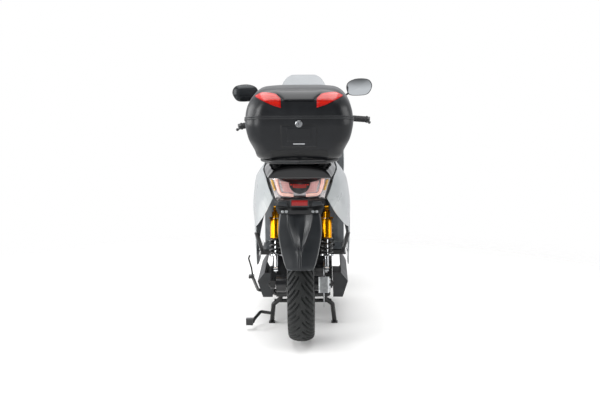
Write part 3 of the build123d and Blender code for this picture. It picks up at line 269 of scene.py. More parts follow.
def slab(name: str, outline: Sequence[Row], low: float, high: float, axis: str = "y",
         bevel: float = 1.0) -> bpy.types.Object:
    """A plate from an outline, with softened edges, extruded along an axis, in millimetres.

    Args:
        name: The object's name.
        outline: Points on the two other axes, in order (y and z for x, x and z for y, x and y for z).
        low: Where it starts on its axis. The place ahead of the rear axle, for y.
        high: Where it ends.
        axis: The axis that it is extruded along.
        bevel: Width of the softened edges.
    """
    build = {"x": lambda p, d: at(d, p[0], p[1]),
             "y": lambda p, d: at(p[0], d, p[1]),
             "z": lambda p, d: at(p[0], p[1], d)}
    deselect()
    bpy.ops.mesh.primitive_circle_add(vertices=len(outline), fill_type="NGON")
    obj = bpy.context.object
    for vertex, point in zip(obj.data.vertices, outline):
        vertex.co = build[axis](point, low)
    travel = build[axis](outline[0], high) - build[axis](outline[0], low)
    with editing(obj):
        bpy.ops.mesh.extrude_region_move(TRANSFORM_OT_translate={"value": travel})
        bpy.ops.mesh.select_all(action="SELECT")
        bpy.ops.mesh.normals_make_consistent(inside=False)
        if bevel:
            bpy.ops.mesh.bevel(offset=bevel * MM, segments=3, affect="EDGES")
    return keep_place(obj, name)


def turned(name: str, profile: Sequence[Row], origin: Vector, axis: Vector,
           steps: int = 48) -> bpy.types.Object:
    """A round piece from (radius, height) points in millimetres, turned about an axis.

    Args:
        name: The object's name.
        profile: Points from one end of the axis to the other.
        origin: Where height 0 lies.
        axis: The direction of height.
        steps: Faces round the piece.
    """
    angles = np.linspace(0, 2 * pi, steps + 1)
    turn = Vector((0, 0, 1)).rotation_difference(axis.normalized()).to_matrix()
    place = np.array(turn)
    rows = np.array([[(r * cos(t), r * sin(t), h) for t in angles] for r, h in profile]) * MM
    obj = grid(name, rows @ place.T + np.array(origin), seam=True)
    return recalculated(obj)


def joined(pieces: Sequence[bpy.types.Object], name: str) -> bpy.types.Object:
    """Several meshes as one object."""
    deselect()
    for piece in pieces:
        piece.select_set(True)
    bpy.context.view_layer.objects.active = pieces[0]
    bpy.ops.object.join()
    obj = bpy.context.object
    obj.name = obj.data.name = name
    return obj


def moved(obj: bpy.types.Object, matrix: Matrix) -> bpy.types.Object:
    """Moves a mesh by a matrix, its object staying at the origin."""
    obj.data.transform(matrix)
    obj.data.update()
    return obj


def copied(obj: bpy.types.Object, name: str, matrix: Matrix) -> bpy.types.Object:
    """A copy with its own mesh, placed by a matrix. A mirroring matrix has its faces turned back outwards."""
    pick(obj)
    bpy.ops.object.duplicate()
    other = moved(bpy.context.object, matrix)
    other.name = other.data.name = name
    if matrix.determinant() < 0:
        with editing(other):
            bpy.ops.mesh.flip_normals()
    return other


MIRROR = Matrix.Scale(-1, 4, (1, 0, 0))


# ---------------------------------------------------------------- finishes
def linear(colour: str) -> tuple[float, float, float, float]:
    """An sRGB hex colour as linear values."""
    parts = [int(colour[i : i + 2], 16) / 255 for i in (1, 3, 5)]
    return (*[c / 12.92 if c <= 0.04045 else ((c + 0.055) / 1.055) ** 2.4 for c in parts], 1.0)


def add(tree: bpy.types.NodeTree, kind: str, inputs: dict | None = None,
        **settings: object) -> bpy.types.Node:
    """Adds a node with its settings, its values and its links.

    Args:
        tree: The node tree.
        kind: The node's type.
        inputs: Values or output sockets, by input name or number.
        settings: The node's own settings.

    Returns:
        The new node.
    """
    node = tree.nodes.new(kind)
    for key, value in settings.items():
        setattr(node, key, value)
    for key, value in (inputs or {}).items():
        if isinstance(value, bpy.types.NodeSocket):
            tree.links.new(value, node.inputs[key])
        else:
            node.inputs[key].default_value = value
    return node


def new_tree(name: str) -> tuple[bpy.types.Material, bpy.types.NodeTree]:
    """A material with an empty node tree."""
    material = bpy.data.materials.new(name)
    material.use_nodes = True
    material.node_tree.nodes.clear()
    return material, material.node_tree


class Grain(Enum):
    """How a surface was made, which sets the shape of its finest relief."""

    SMOOTH = "orange peel of a sprayed or polished surface"
    MOULDED = "spark-eroded grain of a moulded plastic"
    CAST = "open grain of a cast or powder-coated metal"
    TURNED = "fine lines left by turning or brushing"
    LEATHER = "pebbled grain of vinyl"


@dataclass(frozen=True)
class Finish:
    """One real material and how it was made, as numbers for a principled shader."""

    name: str
    colour: str
    roughness: float
    metallic: float = 0.0
    ior: float | None = None
    coat: float = 0.0
    coat_roughness: float = 0.05
    grain: Grain = Grain.MOULDED
    grain_mm: float = 1.2  # width of one grain
    relief: float = 0.15  # strength of the grain's relief
    mottle: float = 0.06  # share by which the colour drifts
    mottle_mm: float = 60.0  # size of a patch of drift
    worn: str = ""  # colour of rubbed edges, if any
    sheen: float = 0.0
    transmission: float = 0.0
    glow: str = ""
    glow_strength: float = 0.0
    specular: float = 0.5
    lines: tuple[float, float, float] = (0.0, 0.0, 1.0)  # direction across turned lines

    def material(self) -> bpy.types.Material:
        """The finish as a material, made once."""
        known = bpy.data.materials.get(self.name)
        if known:
            return known
        material, tree = new_tree(self.name)
        place = add(tree, "ShaderNodeTexCoord").outputs["Object"]
        drift = add(tree, "ShaderNodeTexNoise", {
            "Vector": place, "Scale": 1 / (self.mottle_mm * MM), "Detail": 3.0})
        tone = self.tone(tree, drift.outputs["Fac"])
        rough = add(tree, "ShaderNodeMapRange", {
            "Value": drift.outputs["Fac"], "From Min": 0.3, "From Max": 0.7,
            "To Min": max(0.02, self.roughness * 0.88), "To Max": min(1.0, self.roughness * 1.12)})
        bump = add(tree, "ShaderNodeBump", {
            "Height": self.height(tree, place), "Strength": self.relief,
            "Distance": 0.3 * self.grain_mm * MM})
        shader = add(tree, "ShaderNodeBsdfPrincipled", {
            "Base Color": tone, "Metallic": self.metallic, "Roughness": rough.outputs["Result"],
            "Normal": bump.outputs["Normal"], "Coat Weight": self.coat, "Coat Roughness": self.coat_roughness,
            "Sheen Weight": self.sheen, "Transmission Weight": self.transmission,
            "Specular IOR Level": self.specular})
        if self.ior:
            shader.inputs["IOR"].default_value = self.ior
        if self.glow:
            shader.inputs["Emission Color"].default_value = linear(self.glow)
            shader.inputs["Emission Strength"].default_value = self.glow_strength
        add(tree, "ShaderNodeOutputMaterial", {"Surface": shader.outputs["BSDF"]})
        return material

    def tone(self, tree: bpy.types.NodeTree, drift: bpy.types.NodeSocket) -> bpy.types.NodeSocket:
        """The colour, drifting a little over the surface and lighter on rubbed edges."""
        base = np.array(linear(self.colour)[:3])
        dark, light = (tuple(np.clip(base * k, 0, 1)) + (1.0,) for k in (1 - self.mottle, 1 + self.mottle))
        spread = add(tree, "ShaderNodeMapRange", {"Value": drift, "From Min": 0.35, "From Max": 0.65})
        tone = add(tree, "ShaderNodeMix", {"Factor": spread.outputs["Result"], 6: dark, 7: light},
                   data_type="RGBA").outputs[2]
        if not self.worn:
            return tone
        edge = add(tree, "ShaderNodeMapRange", {
            "Value": add(tree, "ShaderNodeNewGeometry").outputs["Pointiness"],
            "From Min": 0.54, "From Max": 0.62})
        rubbed = add(tree, "ShaderNodeMath", {0: edge.outputs["Result"], 1: drift}, operation="MULTIPLY")
        return add(tree, "ShaderNodeMix", {"Factor": rubbed.outputs["Value"], 6: tone, 7: linear(self.worn)},
                   data_type="RGBA").outputs[2]

    def height(self, tree: bpy.types.NodeTree, place: bpy.types.NodeSocket) -> bpy.types.NodeSocket:
        """The relief of the grain."""
        scale = 1 / (self.grain_mm * MM)
        if self.grain is Grain.LEATHER:
            cells = add(tree, "ShaderNodeTexVoronoi", {"Vector": place, "Scale": scale, "Randomness": 0.9},
                        feature="SMOOTH_F1")
            return cells.outputs["Distance"]
        if self.grain is Grain.TURNED:
            stretched = add(tree, "ShaderNodeMapping", {
                "Vector": place, "Scale": tuple(scale if k else scale * 0.03 for k in self.lines)})
            return add(tree, "ShaderNodeTexNoise", {"Vector": stretched.outputs["Vector"], "Scale": 1.0,
                                                    "Detail": 2.0}).outputs["Fac"]
        detail = {Grain.SMOOTH: 0.0, Grain.MOULDED: 2.0, Grain.CAST: 4.0}[self.grain]
        noise = add(tree, "ShaderNodeTexNoise", {"Vector": place, "Scale": scale, "Detail": detail})
        return noise.outputs["Fac"]


# Sprayed 2K paint on ABS: an even pale grey under clear lacquer, with long soft reflections.
PAINT = Finish("painted_abs_pale_grey", "#a4a9aa", 0.3, ior=1.5, coat=0.6, grain=Grain.SMOOTH, grain_mm=3.0,
               relief=0.05, mottle=0.02, mottle_mm=150)
# Moulded polypropylene with an eroded grain: dull charcoal that lightens where it is rubbed.
CASE = Finish("grained_polypropylene_charcoal", "#131518", 0.33, ior=1.49, grain_mm=0.9,
              relief=0.28, mottle=0.1, worn="#5a6066")
# Moulded ABS with a finer grain, dark grey: mudguard, inner shield and floorboard.
GREY_PLASTIC = Finish("moulded_abs_dark_grey", "#1e2124", 0.35, ior=1.53, grain_mm=0.7,
                      relief=0.2, mottle=0.08, worn="#6b7074")
# Moulded ABS, black, a little duller than the grey: lower cowls, switches and rack.
BLACK_PLASTIC = Finish("moulded_abs_black", "#131416", 0.42, ior=1.53, grain_mm=0.8, relief=0.22, mottle=0.12,
                       worn="#35383b")
# Piano-black ABS: polished mould, deep mirror-like reflections.
GLOSS_BLACK = Finish("polished_abs_gloss_black", "#050506", 0.08, ior=1.53, coat=0.7, grain=Grain.SMOOTH,
                     grain_mm=6.0, relief=0.03, mottle=0.05)
# Glass-filled nylon under the bodywork: flat black. Also laid as a painted shadow band across the foot of the
# case's rear.
DEEP_BLACK = Finish("glass_filled_nylon_black", "#0b0c0d", 0.62, ior=1.53, grain_mm=1.5,
                    relief=0.3, mottle=0.15)
# Vulcanised tyre rubber: near black, dull, with a dusty drift.
TYRE_RUBBER = Finish("vulcanised_tyre_rubber", "#1b1d1d", 0.6, ior=1.52, grain_mm=0.8,
                     relief=0.25, mottle=0.14, mottle_mm=25, specular=0.35)
# Moulded grip rubber: matt, soft-looking black.
GRIP_RUBBER = Finish("moulded_grip_rubber", "#17181a", 0.66, ior=1.52, grain_mm=0.6, relief=0.3, mottle=0.1)
# Black powder coat on steel tube: slight orange peel and a satin light.
FRAME_COAT = Finish("powder_coated_steel_black", "#0e0f10", 0.36, ior=1.5, coat=0.25,
                    grain=Grain.CAST, grain_mm=1.6, relief=0.12, mottle=0.1, worn="#3a3b3c")
# The same coat, glossier, on spring wire: a bright line along each coil.
SPRING_COAT = Finish("powder_coated_spring_black", "#101113", 0.28, ior=1.5, coat=0.4,
                     grain=Grain.CAST, grain_mm=1.2, relief=0.1, mottle=0.08)
# Sand-cast aluminium: pale, speckled by its grain.
CAST_ALLOY = Finish("cast_aluminium_raw", "#cfd2d3", 0.4, 1.0, grain=Grain.CAST, grain_mm=1.4, relief=0.3,
                    mottle=0.12, mottle_mm=12)
# Painted cast wheels: satin black.
BLACK_ALLOY = Finish("painted_cast_alloy_black", "#16171a", 0.34, ior=1.5, coat=0.35,
                     grain=Grain.CAST, grain_mm=1.6, relief=0.1, mottle=0.08)
# Gold anodised aluminium: saturated, with turned lines.
GOLD = Finish("anodised_aluminium_gold", "#f0a311", 0.3, 1.0, grain=Grain.TURNED, grain_mm=0.5, relief=0.12,
              mottle=0.05, mottle_mm=20)
# Turned bright steel: grey with fine lines from the lathe.
STEEL = Finish("turned_bright_steel", "#a9abad", 0.28, 1.0, grain=Grain.TURNED, grain_mm=0.5, relief=0.12,
               mottle=0.06, mottle_mm=18)
# Hard chrome on sliding tubes: a near mirror.
CHROME = Finish("hard_chrome_plate", "#e4e6e8", 0.06, 1.0, grain=Grain.SMOOTH, grain_mm=4.0, relief=0.02,
                mottle=0.02)
# Zinc-plated fasteners: pale, slightly mottled.
ZINC = Finish("zinc_plated_fastener", "#b9bcbd", 0.33, 1.0, grain=Grain.CAST, grain_mm=0.8, relief=0.1,
              mottle=0.1, mottle_mm=6)
# Silvered glass: reflects with no tint.
MIRROR_GLASS = Finish("silvered_mirror_glass", "#e3e7e9", 0.015, 1.0, grain=Grain.SMOOTH,
                      grain_mm=40, relief=0.0, mottle=0.01)
# Clear hard-coated polycarbonate.
SCREEN = Finish("clear_polycarbonate_screen", "#f4f7f8", 0.03, ior=1.08, transmission=0.97,
                grain=Grain.SMOOTH, grain_mm=60, relief=0.01, mottle=0.01)
# Clear acrylic over the lamps: only its glints show.
CLEAR_LENS = Finish("clear_acrylic_lens", "#ffffff", 0.04, ior=1.12, transmission=1.0, grain=Grain.SMOOTH,
                    grain_mm=20, relief=0.02, mottle=0.01)
# Red acrylic of the case's reflectors, with a faint painted glow: emission on a lens that has no lamp behind it.
RED_REFLECTOR_PAINTED_GLOW = Finish("red_acrylic_painted_glow", "#a80c0a", 0.2, ior=1.49, coat=0.3, grain=Grain.SMOOTH, grain_mm=8,
                  relief=0.04, mottle=0.1, mottle_mm=30, glow="#ff2010", glow_strength=0.06)
# Tinted glass over a dark display: deep black with sharp reflections.
BLACK_GLASS = Finish("tinted_display_glass", "#08090b", 0.05, ior=1.52, coat=0.6,
                     grain=Grain.SMOOTH, grain_mm=30, relief=0.01, mottle=0.02)
# Expanded vinyl over foam: soft pebbled grain with a dull sheen.
VINYL = Finish("pebbled_seat_vinyl", "#1b1c1e", 0.5, ior=1.5, grain=Grain.LEATHER, grain_mm=1.6, relief=0.35,
               mottle=0.1, sheen=0.1)
# Frosted acrylic light guide: milky pink, glowing softly.
LIGHT_GUIDE = Finish("frosted_light_guide", "#f3cfc6", 0.35, ior=1.49, grain=Grain.SMOOTH,
                     grain_mm=5, relief=0.05, mottle=0.08, mottle_mm=25, glow="#ffb09c", glow_strength=0.3)
# Metallised plastic bowl: silvery, dimpled by its moulding.
REFLECTOR_BOWL = Finish("vacuum_metallised_bowl", "#c9c3c3", 0.22, 1.0, grain=Grain.SMOOTH,
                        grain_mm=3, relief=0.1, mottle=0.08, mottle_mm=12)
# Red LED domes: small bright beads.
RED_DOTS = Finish("red_led_dome", "#ff2a17", 0.2, ior=1.49, grain=Grain.SMOOTH, grain_mm=2, relief=0.02,
                  mottle=0.05, glow="#ff2412", glow_strength=0.5)
# Amber insert of the turn signal: warm and translucent-looking.
AMBER = Finish("amber_turn_signal_insert", "#e0b15a", 0.25, ior=1.49, grain=Grain.SMOOTH,
               grain_mm=3, relief=0.1, mottle=0.1, mottle_mm=10)


def prisms_with_painted_glints(name: str, dark: str, light: str, cell_mm: float) -> bpy.types.Material:
    """A red reflector's back, moulded as small prisms, each cell painted with a highlight at its middle that fades
    to painted shade at its rim.

    Args:
        name: The material's name.
        dark: Colour of the painted shade at each cell's rim.
        light: Colour of the painted highlight at each cell's middle.
        cell_mm: Width of one cell.
    """
    material, tree = new_tree(name)
    place = add(tree, "ShaderNodeTexCoord").outputs["Object"]
    cells = add(tree, "ShaderNodeTexVoronoi",
                {"Vector": place, "Scale": 1 / (cell_mm * MM), "Randomness": 0.15})
    # Painted highlight and painted shade: each cell runs from the light colour at its middle to the dark colour at
    # its rim.
    tone = add(tree, "ShaderNodeMix",
               {"Factor": cells.outputs["Distance"], 6: linear(light), 7: linear(dark)},
               data_type="RGBA").outputs[2]
    bump = add(tree, "ShaderNodeBump", {"Height": cells.outputs["Distance"], "Strength": 0.5,
                                        "Distance": 0.3 * cell_mm * MM})
    shader = add(tree, "ShaderNodeBsdfPrincipled", {"Base Color": tone, "Roughness": 0.12, "Coat Weight": 0.8,
                                                    "Normal": bump.outputs["Normal"], "IOR": 1.49})
    add(tree, "ShaderNodeOutputMaterial", {"Surface": shader.outputs["BSDF"]})
    return material


def dress(obj: bpy.types.Object, finish: Finish | bpy.types.Material, body: str,
          stands_for: Sequence[str] = (), angle: float = 35.0) -> bpy.types.Object:
    """Finishes a piece: smooth shading, material, the body it rides on and the CAD nodes it stands for.

    Args:
        obj: The piece, in place.
        finish: Its finish or material.
        body: The CAD body that it moves with.
        stands_for: CAD nodes that it hides.
        angle: Edges sharper than this many degrees stay sharp.
    """
    pick(obj)
    bpy.ops.object.shade_smooth_by_angle(angle=radians(angle))
    obj.data.materials.clear()
    obj.data.materials.append(finish.material() if isinstance(finish, Finish) else finish)
    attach(obj, body)
    if stands_for:
        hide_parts(*stands_for)
    LOG.info("%s: %d faces on %s", obj.name, len(obj.data.polygons), body)
    return obj


# ---------------------------------------------------------------- top case
@dataclass
class TopCase:
    """Luggage case: moulded shell and lid that meet at a sloping seam, reflectors, lock and rear panel."""

    middle: float = -92.0  # its middle, ahead of the rear axle
    seam_middle: float = 1021.5
    seam_drop: float = 69.0 / 410.0  # how much the seam falls for each millimetre forwards
    wall: float = 3.0
    lip: float = 4.0  # how far the rims stand out at the seam
    levels: tuple = (  # height, half width, depth, corner radius
        (874.4, 176, 342, 60), (880, 182, 352, 60), (905, 191, 374, 64), (960, 219, 394, 70),
        (1000, 229, 403, 74), (1022, 232, 407, 76), (1060, 230, 406, 77), (1090, 224, 402, 78),
        (1118, 212, 392, 78), (1140, 197, 371, 76), (1158, 178, 338, 72), (1170, 152, 290, 64),
        (1175.3, 108, 214, 52))

    def level(self, z: float) -> np.ndarray:
        """Half width, depth and corner radius at a height."""
        table = np.array(self.levels, float)
        dense = curve(table, 400, table[:, 0])
        return np.array([np.interp(z, dense[:, 0], dense[:, k]) for k in (1, 2, 3)])

    def ring(self, z: float, steps: int = 14) -> list[Vector]:
        """The closed outline at a height, from the middle of the rear and round to it again."""
        half, depth, corner = self.level(z)
        points = [(0.0, -depth / 2)]
        for turn, (x, y) in enumerate(((1, -1), (1, 1), (-1, 1), (-1, -1))):
            for t in np.linspace(0, pi / 2, steps):
                angle = -pi / 2 + turn * pi / 2 + t
                points.append((x * (half - corner) + corner * cos(angle),
                               y * (depth / 2 - corner) + corner * sin(angle)))
            side = ((half, 0.0), (0.0, depth / 2), (-half, 0.0), (0.0, -depth / 2))[turn]
            points.append(side)
        return [at(x, self.middle + y, z) for x, y in points]

    def rear(self, x: float, z: float, out: float = 0.0) -> Vector:
        """The point of the rear or corner surface at a place across and up, pushed out by some millimetres."""
        half, depth, corner = self.level(z)
        over = max(0.0, abs(x) - (half - corner))
        over = min(over, corner * 0.995)
        drop = corner - (corner**2 - over**2) ** 0.5
        normal = Vector((np.sign(x) * over, -((corner**2 - over**2) ** 0.5), 0)).normalized()
        lift = self.level(z + 4) - self.level(z - 4)
        slope = Vector((0, 0, max(0.0, -lift[1] / 16)))
        normal = (normal + slope).normalized()
        return at(x, self.middle - depth / 2 + drop, z) + normal * out * MM

    def body(self, name: str, lower: bool) -> bpy.types.Object:
        """The shell below the seam or the lid above it, with its rim turned out at the seam."""
        heights = np.concatenate([np.linspace(874.4, 905, 7), np.linspace(912, 1118, 30),
                                  np.linspace(1122, 1170, 16), [1173, 1175.3]])
        obj = grid(name, np.array([self.ring(z) for z in heights]), seam=True)
        with editing(obj):
            bpy.ops.mesh.select_mode(type="EDGE")
            bpy.ops.mesh.select_all(action="DESELECT")
            bpy.ops.mesh.select_non_manifold(extend=False)
            bpy.ops.mesh.edge_face_add()
            bpy.ops.mesh.select_all(action="SELECT")
            bpy.ops.mesh.normals_make_consistent(inside=False)
            bpy.ops.mesh.bisect(plane_co=at(0, self.middle, self.seam_middle + (-0.4 if lower else 0.4)),
                                plane_no=(0, self.seam_drop, 1), clear_outer=lower, clear_inner=not lower)
        return obj

    def patch(self, name: str, upper: Sequence[Row], lower: Sequence[Row], out: float, thick: float,
              across: int = 26, down: int = 12, side: int = 1) -> bpy.types.Object:
        """A plate that follows the rear surface between two lines of (x, z) points."""
        top, bottom = curve(upper, across), curve(lower, across)
        rows = [[self.rear(side * x, z, out) for x, z in top + (bottom - top) * t]
                for t in np.linspace(0, 1, down)]
        return walled(grid(name, np.array(rows)), at(0, self.middle, 1020), thick, 0.5)

    def build(self) -> None:
        """Builds and dresses every piece of the case."""
        inside = at(0, self.middle, 1000)
        for name, lower, body in (("case_shell", True, "chassis"), ("case_lid", False, "lid")):
            obj = walled(self.body(name, lower), inside, self.wall, 0.8)
            dress(obj, CASE, body, ("box_shell",) if lower else ("box_lid",))
        self.rims()
        self.details()

    def rims(self) -> None:
        """The two flanges that meet at the seam, each a band round the case."""
        for name, body, low, high in (("case_shell_rim", "chassis", -8.5, -0.5),
                                      ("case_lid_rim", "lid", 0.5, 6.5)):
            rows = []
            for offset, out in ((low, 0.2), (low, self.lip * 0.8), ((low + high) / 2, self.lip),
                                (high, self.lip * 0.9), (high, -1.0)):
                line = []
                for point in self.ring(self.seam_middle):
                    z = self.seam_middle + offset - (point.y - AXLE.y - self.middle * MM) / MM * self.seam_drop
                    x, y = self.at_height(point, z, out)
                    line.append((x, y, z * MM))
                rows.append(line)
            obj = recalculated(grid(name, np.array(rows + [rows[0]]), seam=True))
            dress(obj, BLACK_PLASTIC, body)

    def at_height(self, point: Vector, z: float, out: float) -> tuple[float, float]:
        """Where a point of the seam's outline lies at another height, pushed out by some millimetres."""
        half, depth, _ = self.level(z)
        here, there, _ = self.level(self.seam_middle)
        y0 = AXLE.y + self.middle * MM
        return (point.x * (half + out) / here, y0 + (point.y - y0) * (depth / 2 + out) / (there / 2))

    def details(self) -> None:
        """Reflectors, rear panel and lock."""
        for side, word in ((-1, "left"), (1, "right")):
            lens = self.patch(f"case_reflector_{word}", ((186, 1143), (150, 1157), (101, 1152), (77, 1133)),
                              ((185, 1140), (150, 1123), (118, 1108), (76, 1094)), 2.6, 2.4, side=side)
            # The reflector lens carries a faint painted glow.
            dress(lens, RED_REFLECTOR_PAINTED_GLOW, "lid", ("box_reflectors",))
            back = self.patch(f"case_reflector_back_{word}",
                              ((181, 1142.5), (150, 1152), (103, 1148), (82, 1131)),
                              ((180, 1140), (150, 1128), (120, 1112), (81, 1101)), 3.0, 0.5, side=side)
            dress(back, prisms_with_painted_glints("red_acrylic_painted_glints", "#6a0604", "#e0281a", 5.0)
                  if side < 0 else bpy.data.materials["red_acrylic_painted_glints"], "lid")
        band = ((1167, 106, 0.2), (1158, 101, 2.6), (1146, 90, 5.6), (1134, 75, 8.2), (1127, 74, 9.6),
                (1124.5, 73.5, 9.4), (1122, 73, -1.0))
        rows = [[self.rear(x * half, z, -1 + (out + 1) * (1 - x**10)) for x in np.linspace(-1, 1, 41)]
                for z, half, out in band]
        dress(walled(grid("case_lid_brow", np.array(rows)), at(0, self.middle, 1020), 1.5, 0.4), CASE, "lid")
        # Painted shadow: a flat black band across the foot of the case's rear, where its undercut bottom lies in
        # shade.
        dress(self.patch("case_painted_shadow_band", ((-118, 914), (118, 914)), ((-128, 885), (128, 885)),
                         1.0, 1.4, 24, 8),
              DEEP_BLACK, "chassis")
        frame_lines = ((-76, 1019), (76, 1019)), ((-73, 926), (73, 926))
        dress(self.patch("case_rear_panel", *frame_lines, 1.6, 2.0, 24, 14), CASE, "chassis")
        dress(self.patch("case_rear_groove", ((-79, 1022), (79, 1022)), ((-76, 922.5), (76, 922.5)),
                         0.6, 1.0, 24, 14),
              DEEP_BLACK, "chassis")
        dress(self.patch("case_panel_inlay", ((-53, 1009), (53, 1009)), ((-50, 951), (50, 951)),
                         3.2, 1.8, 20, 10),
              CASE, "chassis")
        dress(self.patch("case_panel_strip", ((-25, 943), (25, 943)), ((-25, 938.5), (25, 938.5)),
                         2.6, 1.4, 10, 3),
              CHROME, "chassis")
        self.lock()

    def lock(self) -> None:
        """Turned lock with a keyway, on the lock's own body."""
        low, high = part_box("box_lock")
        centre = (low + high) / 2
        origin = Vector((centre.x, high.y, centre.z))
        depth = (high.y - low.y) / MM
        bezel = turned("lock_barrel",
                       ((0, 0), (15.5, 0), (15.5, depth - 3), (14.6, depth - 1.4), (12.5, depth - 0.4),
                        (11.5, depth - 1.6), (9.5, depth - 1.8), (9, depth - 0.2), (0, depth - 0.1)),
                       origin, Vector((0, -1, 0)))
        dress(bezel, STEEL, "lock", ("box_lock",))
        key = slab("lock_keyway", ((-1.2, -5.5), (1.2, -5.5), (1.2, 5.5), (-1.2, 5.5)), -1.0, 1.0, "y", 0.2)
        moved(key, Matrix.Translation(Vector((centre.x, low.y - AXLE.y + 0.6 * MM, centre.z))))
        dress(key, DEEP_BLACK, "lock")


# ---------------------------------------------------------------- tail
@dataclass
class Tail:
    """Black tail cover, tail light with its inner pieces, reflector, number-plate panel and mudguard."""

    light_top: float = 786.0
    light_low: float = 698.0
    light_rear: float = -250.0
    cover: tuple = (  # place ahead, half line of (x, z)
        (112, ((0, 848), (112, 846), (140, 841), (148, 838))),
        (0, ((0, 848), (113, 845), (140, 837), (152, 829))),
        (-100, ((0, 848), (116, 842), (145, 829), (156, 818))),
        (-190, ((0, 848), (108, 838), (135, 820), (147, 799))),
        (-240, ((0, 847), (100, 834), (124, 814), (138, 792))))

    def build(self) -> None:
        """Builds and dresses every piece of the tail."""
        self.build_cover()
        self.build_light()
        self.build_undertail()
        self.build_reflector()
        self.build_mudguard()

    def build_cover(self) -> None:
        """The arched cover with its rear face turned down to the light."""
        stations = [(a, mirrored(line)) for a, line in self.cover]
        sections = rows_at(stations)
        edge = stations[-1][1]
        top = loft(sections, 61, 34)
        rear = []
        for t, back in ((0.03, -246.5), (0.1, -250.5), (0.3, -252), (0.6, -251.5),
                        (0.86, -251.5), (1.0, -250)):
            line = [at(x * (1 - 0.012 * t), back, z + (788.5 - z) * t if z > 789 else z - 1.5 * t)
                    for x, z in edge]
            rear.append(curve(np.array(line), 61))
        obj = grid("tail_cover_shell", np.concatenate([top, np.array(rear)]))
        walled(obj, at(0, 0, 700), 2.5, 0.5)
        dress(obj, GLOSS_BLACK, "chassis", ("tail_cover",), angle=32)

    def span(self, z: float) -> float:
        """Half the light's width at a height."""
        return float(np.interp(z, (self.light_low - 2, self.light_top), (110, 139)))

    def surface(self, share: float, z: float, depth: float = 0.0) -> Vector:
        """A point of the light's curved face: a share of its half width across, a height, and a depth inside."""
        x = share * self.span(z)
        bow = 26 * abs(share) ** 3.2 + 4 * ((z - 740) / 46) ** 2
        return at(x * (1 - depth / 400), self.light_rear + bow + depth, z)

    def lit_strip(self, name: str, line: Sequence[Row], width: float, depth: float) -> bpy.types.Object:
        """A bar of light guide along a line of (share, z) points, behind the lens."""
        dense = curve(line, 22)
        rows = []
        for (s, z), (ds, dz) in zip(dense, np.gradient(dense, axis=0)):
            x = ds * 125
            size = hypot(x, dz)
            nx, nz = -dz / size, x / size
            rows.append([self.surface(s + nx * k * width / 125, z + nz * k * width,
                                      depth - (1 - abs(k) * 2) * 2)
                         for k in (-0.5, -0.25, 0, 0.25, 0.5)])
        return walled(grid(name, np.array(rows)), at(0, 0, 740), 3, 0.3)

    def build_light(self) -> None:
        """Housing, bowl, light guides, red field, LED row, amber inserts and outer lens."""
        heights = np.linspace(self.light_low, self.light_top, 16)
        shares = np.linspace(-1, 1, 49)
        lens = grid("tail_lens", np.array([[self.surface(s, z) for s in shares] for z in heights]))
        walled(lens, at(0, 0, 740), 2.0, 0.5)
        dress(lens, CLEAR_LENS, "chassis")
        bowl = grid("tail_light_bowl", np.array([[self.surface(s * 0.985, z, 17 - 6 * abs(s)) for s in shares]
                                                 for z in np.linspace(self.light_low + 1,
                                                                      self.light_top - 1, 16)]))
        walled(bowl, at(0, 0, 740), 2.0, 0)
        dress(bowl, REFLECTOR_BOWL, "chassis")
        shell = grid("tail_light_housing", np.array(
            [[self.surface(s, z, d) for s in shares] for z, d in
             ((self.light_low - 1.5, 2), (self.light_low - 1.5, 40), (740, 52), (self.light_top + 1, 40),
              (self.light_top + 1, 2))]))
        walled(shell, at(0, -230, 740), -2.0, 0)
        dress(shell, DEEP_BLACK, "chassis", ("taillight",))
        for side, word in ((-1, "left"), (1, "right")):
            guide = self.lit_strip(f"light_guide_{word}",
                                   ((side * 0.745, 783), (side * 0.76, 765), (side * 0.755, 735),
                                    (side * 0.70, 719), (side * 0.55, 714), (side * 0.24, 713)), 13, 7)
            dress(guide, LIGHT_GUIDE, "chassis")
            amber = self.lit_strip(f"turn_insert_{word}",
                                   ((side * 0.90, 779), (side * 0.905, 755), (side * 0.90, 733)), 9, 8)
            dress(amber, AMBER, "chassis")
            corners = (((0.64, 776), (0.12, 762)), ((0.60, 727), (0.22, 724)))
            rows = [[self.surface(side * (a[0] + (b[0] - a[0]) * s), a[1] + (b[1] - a[1]) * s, 12)
                     for s in np.linspace(0, 1, 15)]
                    for a, b in [((corners[0][0][0] + (corners[1][0][0] - corners[0][0][0]) * t,
                                   corners[0][0][1] + (corners[1][0][1] - corners[0][0][1]) * t),
                                  (corners[0][1][0] + (corners[1][1][0] - corners[0][1][0]) * t,
                                   corners[0][1][1] + (corners[1][1][1] - corners[0][1][1]) * t))
                                 for t in np.linspace(0, 1, 9)]]
            area = walled(grid(f"brake_field_{word}", np.array(rows)), at(0, 0, 740), 1.5, 0)
            dress(area, prisms_with_painted_glints("pink_field_painted_glints", "#c4807c", "#f0c4c0", 8.0) if side < 0
                  else bpy.data.materials["pink_field_painted_glints"], "chassis")
        self.build_centre()

